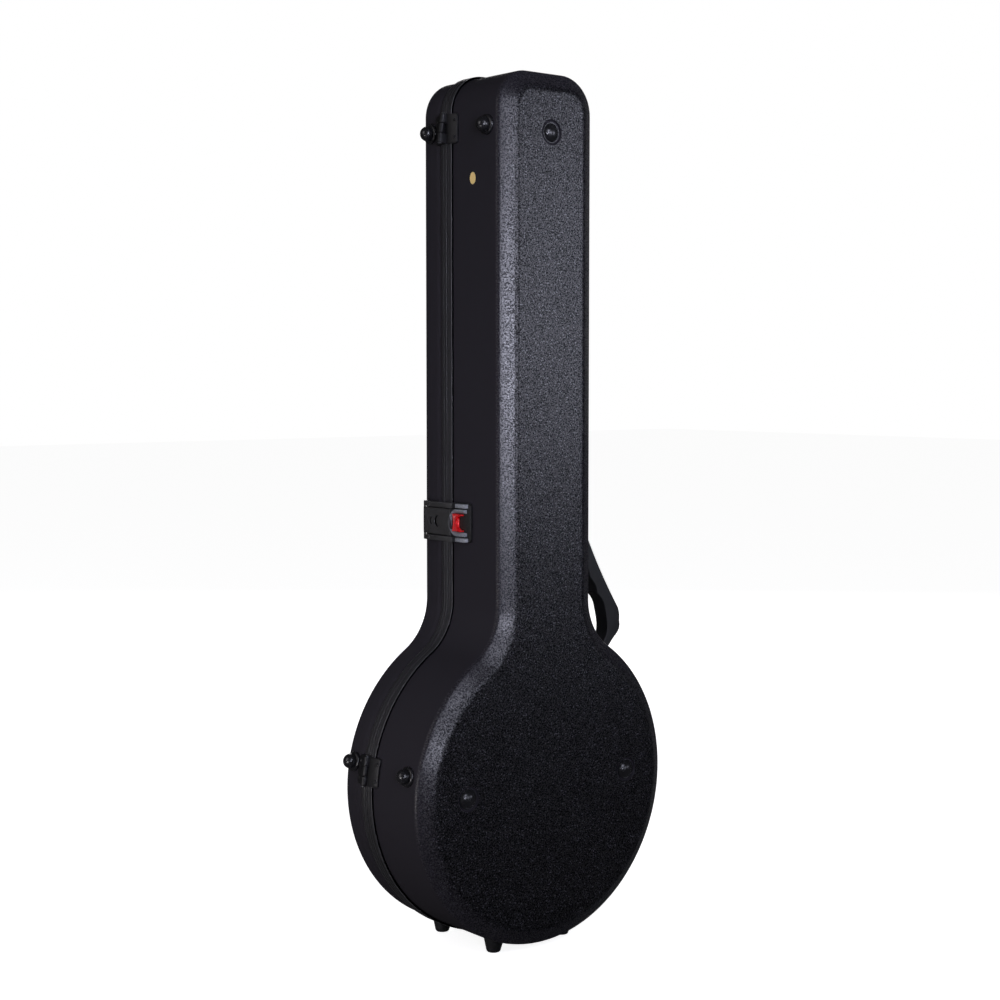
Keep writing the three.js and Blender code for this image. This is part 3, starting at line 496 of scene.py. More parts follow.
def shell_mesh(name, side, depth):
    """A shell's mesh, with round recesses for the back feet where it is the base, and its grain
    attribute: 1 on the face, less on the band, fading to 0 on the side wall and in a recess."""
    mesh = grid_mesh(name, ring_rows(shell_profile(depth), side))
    feet = back_feet.values() if side < 0 else ()
    cutters = []
    for x, z in feet:
        cutter = revolved(recess_profile, 96)
        place = Matrix.Translation((x, seam_y - depth + recess_depth, z + ground_to_pot))
        cutter.transform(place @ Matrix.Rotation(math.pi / 2, 4, "X"))
        cutters.append(cutter)
    if cutters:
        mesh = sharpened(carved(mesh, *cutters), 50)
    px, py, pz = read_values(mesh.vertices, "co").T
    from_face = depth - np.abs(py - seam_y)
    fade = np.clip((band_depth + grain_fade - from_face) / grain_fade, 0.0, 1.0)
    grained = fade * (1.0 - band_smoothness * np.clip(from_face / band_round, 0.0, 1.0))
    for x, z in feet:
        away = np.hypot(px - x, pz - z - ground_to_pot)
        grained[(away < recess_radius + recess_margin) & (from_face > 0.0001)] = 0.0
    write_attribute(mesh, "grain", "POINT", grained)
    flat = np.abs(read_values(mesh.polygons, "normal")[:, 1]) > 0.9999
    smooth = read_values(mesh.polygons, "use_smooth", 1)[:, 0] > 0
    mesh.polygons.foreach_set("use_smooth", smooth & ~flat)
    return mesh


shell_material = shell_plastic()
for shell_name, shell_side, shell_depth in (("base", -1, base_depth), ("lid", 1, lid_depth)):
    moulding_name = f"{shell_name}_shell_moulding"
    moulding = shell_mesh(moulding_name, shell_side, shell_depth)
    add_piece(moulding_name, moulding, shell_material, shell_name, "shell", f"{shell_name}_shell")

# Trim frames
# A plastic extrusion is pressed on each shell's edge. The two meet at the seam in a thin shadow
# line, and each has a rounded bead along its outer edge.
trim_proud = 0.003
trim_height = 0.01
trim_shade_depth = 0.00015
trim_highlight_depth = 0.0012


def trim_profile(side):
    """Section of a trim frame as a closed row of (inset, distance from the seam): rounded lip with
    a groove along it, channel over the wall's edge, and the tongue or groove at the seam."""
    lip = -trim_proud
    points = [
        [(-0.0012, seam_gap)],
        arc((lip + 0.0011, seam_gap + 0.0011), 0.0011, -math.pi / 2, -math.pi, 6),
        [(lip, 0.0036), (lip + 0.0007, 0.0044), (lip + 0.0007, 0.0052), (lip, 0.006)],
        arc((lip + 0.0009, trim_height - 0.0009), 0.0009, -math.pi, -3 * math.pi / 2, 6),
        [(-0.0003, trim_height), (-0.0003, 0.005), (0.0033, 0.005), (0.0033, 0.009), (0.0048, 0.009),
         (0.0048, seam_gap)],
    ]
    if side < 0:
        points.append([(0.0022, seam_gap), (0.002, -0.0025), (0.001, -0.0025), (0.0008, seam_gap)])
    else:
        points.append([(0.003, seam_gap), (0.003, 0.0031), (0.0, 0.0031), (0.0, seam_gap)])
    return np.concatenate([np.array(p, float) for p in points])


def trim_plastic():
    """Black satin extrusion with a fine skin. Its end face, where the end attribute is 1, is painted dull
    and deep black as shade, and the corner beside that is painted lighter as a highlight line where the
    corner attribute is 1."""
    material, tree, shader = new_material("trim_plastic")
    end_shade = attribute(tree, "end")
    fine = use_group(tree, grain, Scale=900.0)
    # The end face is painted near black and without gloss: painted shade of the gap beside the wall.
    color = mixed(tree, end_shade, (0.014, 0.014, 0.0155, 1.0), (0.0008, 0.0008, 0.001, 1.0))
    set_sockets(tree, shader, {
        # The corner beside the end face is painted lighter: a painted highlight line.
        "Base Color": mixed(tree, attribute(tree, "corner"), color, (0.06, 0.06, 0.064, 1.0)),
        "Specular IOR Level": mapped(tree, end_shade, low=0.5, high=0.0),
        "Roughness": mapped(tree, fine["Tops"], low=0.36, high=0.5),
        "Normal": bumped(tree, fine["Height"], 0.25, 0.0001),
    })
    return material


trim_material = trim_plastic()
for trim_name, trim_side in (("base", -1), ("lid", 1)):
    trim_rows = ring_rows(trim_profile(trim_side), trim_side)
    trim_mesh = sharpened(grid_mesh(f"{trim_name}_trim_frame", trim_rows, ends="joined"))
    reach = np.abs(read_values(trim_mesh.polygons, "center")[:, 1] - seam_y)
    # Faces of the end face carry the end attribute, by which the material paints them in shade.
    in_end_shade = reach > trim_height - trim_shade_depth
    write_attribute(trim_mesh, "end", "FACE", in_end_shade)
    # Faces of the corner carry the corner attribute, by which the material paints a highlight line.
    write_attribute(trim_mesh, "corner", "FACE", (reach > trim_height - trim_highlight_depth) & ~in_end_shade)
    add_piece(f"{trim_name}_trim_frame", trim_mesh, trim_material, trim_name, "valance",
              f"{trim_name}_valance")

# Hinges
# Two pressed-steel butt hinges, painted black. Each leaf lies on the wall, steps over the trim,
# rolls round the pin and is held by two domed rivets.
hinge_length = 0.035
hinge_stand_off = 0.007
knuckle_radius = 0.0036
pin_radius = 0.0015
leaf_reach = 0.0205
leaf_step = 0.0125
leaf_thickness = 0.002
leaf_round = 0.003
leaf_fall = 0.006
seat_gap = 0.0003
run_gap = 0.0005
rivet_radius = 0.0026
rivet_height = 0.0014
rivet_raise = 0.0011
rivet_sunk = 0.0012
rivet_start_angle = 0.42
rivet_spacing = 0.02
rivet_reach = 0.0165
middle_knuckle_share = 0.34
pin_head_radius = 0.0027
upper_hinge_z = case_length - 0.062


def frame_matrix(along, out, origin):
    """Local axes on a wall: x along it, y across the seam and z out of it, from an origin given
    as x and height in the case's upright plane."""
    return Matrix((
        (along[0], 0.0, out[0], origin[0]),
        (0.0, 1.0, 0.0, seam_y),
        (along[1], 0.0, out[1], origin[1] + ground_to_pot),
        (0.0, 0.0, 0.0, 1.0),
    ))


def wall_matrix(out, origin):
    """Local axes on a wall that faces outwards, with x square to the way out."""
    return frame_matrix((out[1], -out[0]), out, origin)


def neck_wall(side, height):
    """Local axes on the neck's left (-1) or right (1) wall at a height."""
    return wall_matrix((side, 0.0), (side * neck_half, height))


def pot_wall(angle):
    """Local axes on the pot's round wall, at an angle from the right."""
    out = (math.cos(angle), math.sin(angle))
    return wall_matrix(out, (pot_radius * out[0], pot_radius + pot_radius * out[1]))


def joined(name, parts, matrix):
    """One mesh made of several, moved by a matrix and shaded smooth but for its sharp edges."""
    work = bmesh.new()
    for part in parts:
        work.from_mesh(part)
        bpy.data.meshes.remove(part)
    mesh = bpy.data.meshes.new(name)
    work.to_mesh(mesh)
    work.free()
    mesh.transform(matrix)
    mesh.shade_smooth()
    return sharpened(mesh)


def add_joined(name, parts, axes, material, body, slot, *replaced):
    """Puts several parts, modelled in local axes, in the scene as one piece."""
    return add_piece(name, joined(name, parts, axes), material, body, slot, *replaced)


def softened(mesh, width, segments=2, angle=35.0):
    """The same mesh with its edges sharper than an angle rounded off."""
    work = bmesh.new()
    work.from_mesh(mesh)
    limit = math.radians(angle)
    edges = [e for e in work.edges if len(e.link_faces) == 2 and e.calc_face_angle(0.0) > limit]
    bmesh.ops.bevel(work, geom=edges, offset=width, segments=segments, profile=0.5,
                    affect="EDGES", clamp_overlap=True)
    work.to_mesh(mesh)
    work.free()
    return mesh


def prism(points, low, high, edge=0.0):
    """A flat outline in local x and y given depth from one z to another, its edges rounded."""
    rows = np.stack([np.insert(np.asarray(points, float), 2, z, axis=1) for z in (low, high)])
    mesh = grid_mesh("prism", rows)
    return softened(mesh, edge) if edge else mesh


def across_prism(points, start, end, edge=0.0):
    """A profile in local y and z given length along x, its edges rounded."""
    rows = np.stack([np.insert(np.asarray(points, float), 0, x, axis=1) for x in (start, end)])
    mesh = grid_mesh("across_prism", rows)
    return softened(mesh, edge) if edge else mesh


def bar_along_x(radius, start, end, edge=0.0003, steps=32, bore=0.0):
    """A round bar along local x with softened ends, or a tube where it has a bore."""
    profile = [(bore, start), (radius - edge, start), (radius, start + edge),
               (radius, end - edge), (radius - edge, end), (bore, end)]
    if bore:
        profile.append(profile[0])
    mesh = revolved(profile, steps)
    mesh.transform(Matrix.Rotation(math.pi / 2, 4, "Y"))
    return mesh


def hinge_frames():
    """The line of both pins touches the rounds of the pot and the neck's top corner, a stand-off
    away. Returns each hinge's axes and how far its wall lies below the pin along the pin."""
    pot = np.array([0.0, pot_radius])
    corner = np.array([corner_radius - neck_half, case_length - corner_radius])
    between = corner - pot
    lean = math.acos((pot_radius - corner_radius) / np.hypot(*between))
    turn = math.atan2(between[1], between[0]) + lean
    out = np.array([math.cos(turn), math.sin(turn)])
    along = np.array([out[1], -out[0]])
    start = pot + out * (pot_radius + hinge_stand_off)
    travel = (upper_hinge_z - start[1]) / along[1]

    def neck_depth(x):
        """How far the neck's straight wall lies below the pin, which leans along it."""
        return (neck_half + start[0] + (travel + x) * along[0]) / out[0]

    def pot_depth(x):
        """How far the pot's circle lies below the pin."""
        return pot_radius + hinge_stand_off - np.sqrt(pot_radius ** 2 - x ** 2)

    return {
        "upper": (frame_matrix(along, out, start + along * travel), neck_depth),
        "lower": (frame_matrix(along, out, start), pot_depth),
    }


def hinge_leaf(side, wall_depth, knuckles):
    """One leaf: a strip along the pin whose section steps from the wall over the trim and whose
    reach falls off in a quarter circle at its ends, knuckles round the pin, and two rivets."""
    half = hinge_length / 2
    tail = np.linspace(half - leaf_round, half, 7)
    middle = np.linspace(leaf_round - half, half - leaf_round, 11)[1:-1]
    x = np.concatenate([-tail[::-1], middle, tail])
    into_round = np.clip(np.abs(x) - (half - leaf_round), 0.0, leaf_round)
    reach = leaf_reach - leaf_round + np.sqrt(leaf_round ** 2 - into_round ** 2)
    on_wall = seat_gap - wall_depth(x)
    on_trim = on_wall + trim_proud
    top = on_trim + leaf_thickness
    section = [
        (seam_gap, on_trim), (leaf_step - 0.002, on_trim), (leaf_step - 0.001, on_wall),
        (reach, on_wall), (reach, on_wall + leaf_thickness),
        (reach - 0.0008, on_wall + leaf_thickness + 0.0006), (leaf_fall, top), (seam_gap, top),
    ]
    rows = [np.column_stack([x, side * np.broadcast_to(y, x.shape), z]) for y, z in section]
    parts = [softened(grid_mesh("strip", np.stack(rows, axis=1)), 0.0005)]
    web_foot = on_trim.min()
    web = [(side * seam_gap, web_foot), (side * knuckle_radius, web_foot),
           (side * knuckle_radius, 0.0), (side * seam_gap, -0.6 * knuckle_radius)]
    for start, end in knuckles:
        parts.append(bar_along_x(knuckle_radius, start, end, 0.0005, bore=pin_radius + 0.0002))
        parts.append(across_prism(web, start, end, 0.0003))
    for end in (-1, 1):
        dome = revolved([
            (0, -leaf_thickness), (rivet_radius, -leaf_thickness), (rivet_radius, 0),
            *arc((0, -rivet_sunk), rivet_height + rivet_sunk, rivet_start_angle, math.pi / 2, 8),
        ], 24)
        place = end * rivet_spacing / 2
        seat = seat_gap + leaf_thickness + rivet_raise - wall_depth(place)
        dome.transform(Matrix.Translation((place, side * rivet_reach, seat)))
        parts.append(dome)
    return parts


def edge_wear_group():
    """Node group: where an edge is rubbed. The bevelled normal turns away from the true one near
    an edge; a noise breaks that band up into scuffs."""
    group, given, made = new_group("edge_wear", ["Radius"], ["Worn"])
    bent = add_node(group, "ShaderNodeBevel", {"Radius": given.outputs["Radius"]}, samples=4)
    true = add_node(group, "ShaderNodeNewGeometry")
    near = mapped(group, dot_product(group, bent.outputs["Normal"], true.outputs["Normal"]), 0.98, 0.8)
    scuffs = mapped(group, noise(group, Scale=900.0, Detail=4.0), 0.45, 0.62)
    set_sockets(group, made, {"Worn": worked_out(group, "MULTIPLY", near, scuffs)})
    return group


edge_wear = edge_wear_group()


def painted_steel():
    """Black paint on steel: fine orange peel, with bare dark metal worn through on its edges."""
    material, tree, shader = new_material("painted_steel")
    worn = use_group(tree, edge_wear, Radius=0.0006)["Worn"]
    peel = use_group(tree, grain, Scale=1400.0)
    set_sockets(tree, shader, {
        "Base Color": mixed(tree, worn, (0.004, 0.004, 0.005, 1.0), (0.04, 0.041, 0.045, 1.0)),
        "Specular IOR Level": 0.35,
        "Roughness": mapped(tree, peel["Tops"], low=0.42, high=0.55),
        "Normal": bumped(tree, peel["Height"], 0.3, 0.00008),
    })
    return material


def bright_steel():
    """Bare steel of the pins, under a dull oily film."""
    material, tree, shader = new_material("bright_steel")
    film = noise(tree, Scale=700.0, Detail=3.0)
    set_sockets(tree, shader, {
        "Base Color": mixed(tree, film, (0.2, 0.205, 0.215, 1.0), (0.12, 0.12, 0.125, 1.0)),
        "Metallic": 1.0,
        "Roughness": mapped(tree, film, low=0.28, high=0.45),
    })
    return material


paint = painted_steel()
steel = bright_steel()
hinge_half = hinge_length / 2
middle_knuckle = hinge_half * middle_knuckle_share
end_knuckles = [(-hinge_half, -middle_knuckle - run_gap / 2), (middle_knuckle + run_gap / 2, hinge_half)]
centre_knuckle = [(-middle_knuckle + run_gap / 2, middle_knuckle - run_gap / 2)]
for hinge_name, (hinge_axes, hinge_depth) in hinge_frames().items():
    for leaf_name, leaf_side, leaf_knuckles in (("base", -1, end_knuckles), ("lid", 1, centre_knuckle)):
        piece_name = f"hinge_{hinge_name}_{leaf_name}"
        leaf_parts = hinge_leaf(leaf_side, hinge_depth, leaf_knuckles)
        add_joined(piece_name, leaf_parts, hinge_axes, paint, leaf_name, "hinge", f"{piece_name}_leaf")
    pin_end = hinge_half + seat_gap
    pin_parts = [bar_along_x(pin_radius, -pin_end, pin_end)]
    for end in (-1, 1):
        head = revolved([
            (0, 0), (pin_head_radius, 0), (pin_head_radius, 0.0004),
            *arc((0, 0.0002), 0.001, 0.3, math.pi / 2, 6),
        ], 24)
        head.transform(Matrix.Rotation(end * math.pi / 2, 4, "Y"))
        head.transform(Matrix.Translation((end * pin_end, 0, 0)))
        pin_parts.append(head)
    add_joined(f"hinge_{hinge_name}_rod", pin_parts, hinge_axes, steel, "base", "pin",
               f"hinge_{hinge_name}_pin")

# Studs and feet
# Glossy black nylon: ball-headed studs on the hinge side, low domes in round recesses on the
# back, and tapered feet below the pot, scuffed where they stand.
stud_profile = [
    (0, -0.0015), (0.012, -0.0015), (0.012, 0.0016), *arc((0.0098, 0.0016), 0.0022, 0.0, math.pi / 2, 6),
    (0.0088, 0.0039), (0.0082, 0.0043), *arc((0.0, 0.006), 0.009, -0.15, math.pi / 2, 20),
]
back_foot_profile = [
    (0, recess_floor), (0.0124, recess_floor), (0.0124, 0.0), (0.0121, 0.0004), (0.0117, 0.0005),
    *arc((0.0, -0.0082), 0.0138, 0.66, math.pi / 2, 14),
]
stud_upper_z = case_length - 0.065
stud_lower_z = 0.229
stud_reaches = {"base": -0.075, "lid": 0.034}
end_foot_spread = 0.055
end_foot_reaches = {"base": -0.064, "lid": 0.039}
end_foot_rings = [
    (0.0, 0.0), (0.0058, 0.0), (0.0074, 0.03), (0.0084, 0.09), (0.0089, 0.17), (0.0122, 1.0), (0.0, 1.0),
]


def rubbed_nylon(name, gloss, dust):
    """Black nylon with a given gloss, a faint mould texture, and grey scuffs by the dust amount."""
    material, tree, shader = new_material(name)
    cloud = noise(tree, Scale=180.0, Detail=5.0, Roughness=0.65)
    scuffed = mapped(tree, cloud, 0.5, 0.75, high=dust)
    skin = use_group(tree, grain, Scale=1800.0)
    set_sockets(tree, shader, {
        "Base Color": mixed(tree, scuffed, (0.0075, 0.0075, 0.0085, 1.0), (0.06, 0.06, 0.065, 1.0)),
        "Roughness": mapped(tree, cloud, low=gloss, high=gloss + 0.12),
        "Normal": bumped(tree, skin["Height"], 0.2, 0.00005),
    })
    return material


stud_nylon = rubbed_nylon("stud_nylon", 0.2, 0.15)
foot_nylon = rubbed_nylon("foot_nylon", 0.42, 0.5)
lower_stud_angle = math.pi - math.asin((stud_lower_z - pot_radius) / pot_radius)
stud_walls = {"upper": neck_wall(-1, stud_upper_z), "lower": pot_wall(lower_stud_angle)}
for stud_name, stud_axes in stud_walls.items():
    for stud_body, stud_reach in stud_reaches.items():
        stud_node = f"stud_{stud_name}_{stud_body}"
        stud_place = stud_axes @ Matrix.Translation((0, stud_reach, 0))
        add_joined(f"{stud_node}_ball", [revolved(stud_profile)], stud_place, stud_nylon, stud_body,
                   "rubber", stud_node)

for foot_name, (foot_x, foot_z) in back_feet.items():
    foot_place = Matrix.Translation((foot_x, seam_y - base_depth + recess_depth, foot_z + ground_to_pot))
    foot_place = foot_place @ Matrix.Rotation(math.pi / 2, 4, "X")
    add_joined(f"back_foot_{foot_name}_dome", [revolved(back_foot_profile)], foot_place, stud_nylon,
               "base", "rubber", f"back_foot_{foot_name}")


def end_foot(x, y):
    """A tapered upright foot whose top follows the pot's round wall: each ring's height is a share
    of the way from the floor up to the wall above that point."""
    angle = np.linspace(0, 2 * np.pi, 48, endpoint=False)
    radii, shares = np.array(end_foot_rings).T[:, :, None]
    px = x + radii * np.cos(angle)
    py = seam_y + y + radii * np.sin(angle)
    wall_z = pot_radius - np.sqrt(pot_radius ** 2 - px ** 2)
    pz = shares * (wall_z + ground_to_pot - seat_gap)
    return sharpened(grid_mesh("end_foot", np.stack([px, py, pz], axis=-1), ends="open"))


for foot_body, foot_reach in end_foot_reaches.items():
    for foot_hand, foot_x in (("left", -end_foot_spread), ("right", end_foot_spread)):
        foot_node = f"end_foot_{foot_body}_{foot_hand}"
        peg = end_foot(foot_x, foot_reach)
        add_piece(f"{foot_node}_peg", peg, foot_nylon, foot_body, "rubber", foot_node)

# Latches
# Four alike: a black frame with two rails riveted to the lid, a sprung lever between them, and on
# the base a blue-grey catch whose horseshoe arch surrounds a red push button.
latch_half = 0.0236
rail_width = 0.0062
rail_top = 0.01
rail_under = 0.0058
rail_start = -0.0172
rail_end = 0.046
rail_fall = 0.014
rail_edge = 0.0006
rail_step = 0.0158
frame_start = 0.0105
frame_thickness = 0.0024
groove_start = 0.0259
groove_end = 0.0275
groove_slope = 0.0003
groove_depth = 0.0007
lever_half = latch_half - rail_width - 0.0011
lever_top = 0.0088
lever_under = 0.0037
lever_pin_reach = 0.041
latch_pin_radius = 0.0012
lever_end_reach = -0.013
lever_roll_start = 0.035
lever_crown = 0.0006
lever_fall = 0.0009
lever_fall_start = 0.03
lever_fall_length = 0.0135
lever_edge_share = 0.035
lever_edge_drop = 0.0005
arch_half = 0.0162
arch_centre = -0.024
arch_rise = 0.014
arch_end = -0.04
arch_top = 0.0082
arch_rim = 0.0014
arch_power_across = 0.45
arch_power_along = 0.6
catch_end = -0.0465
catch_top = 0.0035
catch_sunk = catch_top - 0.001
catch_start = -0.0106
catch_corner = 0.003
pocket_half = 0.0112
pocket_start = -0.014
pocket_floor = 0.0014
tip_start = -0.0222
tip_end = -0.0424
tip_top = 0.0086
tip_inset = 0.0007
button_half = pocket_half - run_gap
button_start = -0.0148
button_end = -0.0305
block_end = -0.0255
ring_centre = -0.0322
ring_wall = 0.002
ring_legs = 0.004
ring_top = 0.0086
block_top = 0.0066
block_dish = 0.0012
block_rim = 0.0012
rib_pitch = 0.0031
rib_height = 0.0004
mark_edge = 0.0005
mark_depth = 0.0012
mark_reaches = ((0.0285, 0.0042, 0.0022), (0.0185, 0.0068, 0.0036))
rail_spans = [(-latch_half, rail_width - latch_half), (latch_half - rail_width, latch_half)]


def latch_frame_parts():
    """Frame in latch axes: a plate on the lid wall and two rails, stepped up over the trim, each
    with a grooved waist and a lid end that falls as a quarter ellipse."""
    plate_end = rail_end - 0.004
    plate = rectangle(-latch_half, latch_half, frame_start, plate_end)
    parts = [prism(plate, seat_gap, seat_gap + frame_thickness, 0.0004)]
    lid_end = arc((0.0, 0.0), 1.0, 0.0, math.pi / 2, 14) * (rail_fall, rail_top - rail_edge)
    lid_end += (rail_end - rail_fall, rail_edge)
    groove_floor = rail_top - groove_depth
    profile = np.concatenate([
        [(rail_start, rail_under), (rail_step, rail_under), (rail_step, seat_gap), (rail_end, seat_gap)],
        lid_end,
        [(groove_end, rail_top), (groove_end - groove_slope, groove_floor),
         (groove_start + groove_slope, groove_floor), (groove_start, rail_top),
         (rail_start + 0.001, rail_top), (rail_start, rail_top - rail_edge)],
    ])
    for start, end in rail_spans:
        parts.append(across_prism(profile, start, end, 0.0009))
    return parts


def grip_marks(x, y):
    """How far a place on the lever lies in one of its crescents, from 0 to 1: inside one circle and
    outside another of the same radius that is shifted along the lever."""
    marks = np.zeros_like(y)
    for reach, radius, width in mark_reaches:
        within = np.clip((radius - np.hypot(x, y - reach + radius)) / mark_edge + 0.5, 0.0, 1.0)
        beyond = np.clip((np.hypot(x, y - reach + radius + width) - radius) / mark_edge + 0.5, 0.0, 1.0)
        marks = np.maximum(marks, within * beyond * (y > reach - 1.2 * radius))
    return marks


def lever_mesh(steps_across=90, steps_along=120):
    """Lever in latch axes: a grid whose top falls with the fourth power of the way across and the
    square of the way along, rolls down over the pin as a quarter circle, starts beside the arch's
    ellipse, is rounded at its edges by a quarter circle, and dips at two crescent grip marks."""
    across = np.linspace(-1.0, 1.0, steps_across)
    x = across * lever_half
    inside = np.clip(1.0 - (x / (arch_half + seat_gap)) ** 2, 0.0, None)
    start = np.maximum(arch_centre + (arch_rise + seat_gap) * np.sqrt(inside), lever_end_reach)
    share = np.linspace(0.0, 1.0, steps_along)
    end = lever_pin_reach + 0.0024
    y = start[None, :] + share[:, None] * (end - start)[None, :]
    wide = np.broadcast_to(x, y.shape)
    along = np.clip((y - lever_fall_start) / lever_fall_length, 0, 1)
    top = lever_top - lever_crown * (wide / lever_half) ** 4 - lever_fall * along ** 2
    top = top - mark_depth * grip_marks(wide, y)
    edge = np.minimum(1.0, np.minimum(1.0 - np.abs(across)[None, :], share[:, None] * 3) / lever_edge_share)
    top = top - lever_edge_drop * (1.0 - np.sqrt(np.clip(edge, 0.0, 1.0)))
    roll = np.clip((y - lever_roll_start) / (end - lever_roll_start), 0.0, 1.0)
    fall = np.sqrt(np.clip(1.0 - roll ** 2, 0.0, 1.0))
    middle = (lever_top + lever_under) / 2
    upper = np.stack([wide, y, middle + (top - middle) * fall], axis=-1)
    lower = np.stack([wide, y, middle - (lever_top - middle) * fall], axis=-1)
    mesh = grid_mesh("lever", np.concatenate([upper, lower[:, ::-1]], axis=1))
    px, py, pz = read_values(mesh.vertices, "co").T
    # The grip marks' grooves get an attribute by which the latch material paints them black as shade.
    write_attribute(mesh, "grip_mark_shade", "POINT", np.where(pz > middle, grip_marks(px, py), 0.0))
    return mesh


def arch_wall():
    """The horseshoe in latch axes: half an ellipse outside and a squarer one inside, whose sine and
    cosine go by a power, with straight legs, a narrow level rim, and a slope down to the pocket."""
    angle = np.linspace(0.0, np.pi, 40)
    inner_half = pocket_half + 0.0004
    outer = np.column_stack([arch_half * np.cos(angle), arch_centre + arch_rise * np.sin(angle)])
    inner = np.column_stack([
        inner_half * np.sign(np.cos(angle)) * np.abs(np.cos(angle)) ** arch_power_across,
        arch_centre + (pocket_start - arch_centre + 0.0022) * np.sin(angle) ** arch_power_along,
    ])
    outer = np.concatenate([[(arch_half, arch_end)], outer, [(-arch_half, arch_end)]])
    inner = np.concatenate([[(inner_half, arch_end)], inner, [(-inner_half, arch_end)]])
    thick = np.hypot(*(inner - outer).T)[:, None]
    rim = outer + (inner - outer) * np.minimum(1.0, arch_rim / thick)
    section = [(outer, catch_sunk), (outer, arch_top), (rim, arch_top), (inner, catch_top + 0.0012),
               (inner, catch_sunk)]
    rows = np.stack([np.insert(flat, 2, z, axis=1) for flat, z in section], axis=1)
    return softened(grid_mesh("arch", rows), 0.0004)


def catch_plate_parts():
    """Black parts of the catch in latch axes: the base plate, and a stop that carries on each rail."""
    parts = [prism([
        (-latch_half, catch_start), (-latch_half, catch_end + catch_corner),
        (catch_corner - latch_half, catch_end), (latch_half - catch_corner, catch_end),
        (latch_half, catch_end + catch_corner), (latch_half, catch_start),
    ], seat_gap, catch_top, 0.0005)]
    stop = [(rail_start - 0.0004, catch_sunk), (rail_start - 0.0004, rail_top - 0.0008),
            (rail_start - 0.0018, rail_top - 0.0004), (rail_start - 0.0022, catch_sunk)]
    for start, end in rail_spans:
        parts.append(across_prism(stop, start, end, 0.0003))
    return parts


def catch_parts():
    """Grey parts of the catch in latch axes: the arch, and a tip in line with each rail."""
    tip = np.array([
        (tip_end, catch_sunk), (tip_start, catch_sunk), (tip_start, tip_top - 0.0006),
        (tip_start - 0.0006, tip_top), (tip_end + 0.004, tip_top), (tip_end + 0.0012, tip_top - 0.0014),
        (tip_end, tip_top - 0.004),
    ])
    parts = [arch_wall()]
    for start, end in rail_spans:
        parts.append(across_prism(tip, start + tip_inset, end - tip_inset, 0.0005))
    return parts


def button_parts():
    """Button in latch axes: a block towards the seam, dished across by a square and ribbed along by
    a cosine, and the raised open ring that a thumb pulls."""
    x = np.linspace(-button_half, button_half, 25)
    y = np.linspace(button_start, block_end, 31)
    grid_y, grid_x = np.meshgrid(y, x, indexing="ij")
    ribs = rib_height * np.cos((grid_y - button_start) / rib_pitch * 2 * np.pi)
    dish = block_dish * (1.0 - (grid_x / button_half) ** 2)
    rim = np.minimum(1.0, (button_half - np.abs(grid_x)) / block_rim)
    top = block_top - dish + ribs * rim
    floor_level = pocket_floor + seat_gap
    upper = np.stack([grid_x, grid_y, top], axis=-1)
    lower = np.stack([grid_x, grid_y, np.full_like(top, floor_level)], axis=-1)
    rows = np.concatenate([upper, lower[:, ::-1]], axis=1)
    block = softened(grid_mesh("button_block", rows), 0.0004, 2, 50)
    hollow = button_half - ring_wall
    legs_end = button_end - ring_legs
    ring_outline = np.concatenate([
        arc((0, ring_centre), button_half, 0.0, math.pi, 30),
        [(-button_half, legs_end), (-hollow, legs_end)],
        arc((0, ring_centre), hollow, math.pi, 0.0, 30),
        [(hollow, legs_end), (button_half, legs_end)],
    ])
    return [block, prism(ring_outline, floor_level, ring_top, 0.0007)]


def latch_plastic(name, dark, light, roughness, mottle=450.0):
    """Moulded latch plastic: two close shades broken up by a mottled skin, rubbed on its edges, and painted
    black with no gloss in the grooves of the grip marks, as painted shade, where the grip-mark attribute is
    1."""
    material, tree, shader = new_material(name)
    skin = use_group(tree, grain, Scale=mottle)
    faint = worked_out(tree, "MULTIPLY", skin["Tops"], 0.45)
    worn = use_group(tree, edge_wear, Radius=0.0005)["Worn"]
    color = mixed(tree, worked_out(tree, "MAXIMUM", faint, worn), dark, light)
    grip_mark_shade = attribute(tree, "grip_mark_shade")
    set_sockets(tree, shader, {
        # In the grip-mark grooves: painted shade, near black and without gloss.
        "Base Color": mixed(tree, grip_mark_shade, color, (0.0008, 0.0008, 0.0008, 1.0)),
        "Specular IOR Level": mapped(tree, grip_mark_shade, low=0.5, high=0.0),
        "Roughness": mapped(tree, skin["Tops"], low=roughness, high=roughness + 0.12),
        "Normal": bumped(tree, skin["Height"], 0.35, 0.00015),
    })
    return material


latch_black = latch_plastic("latch_black", (0.018, 0.018, 0.0185, 1.0), (0.045, 0.045, 0.046, 1.0), 0.5)
latch_grey = latch_plastic("latch_grey", (0.15, 0.16, 0.18, 1.0), (0.31, 0.32, 0.34, 1.0), 0.42)
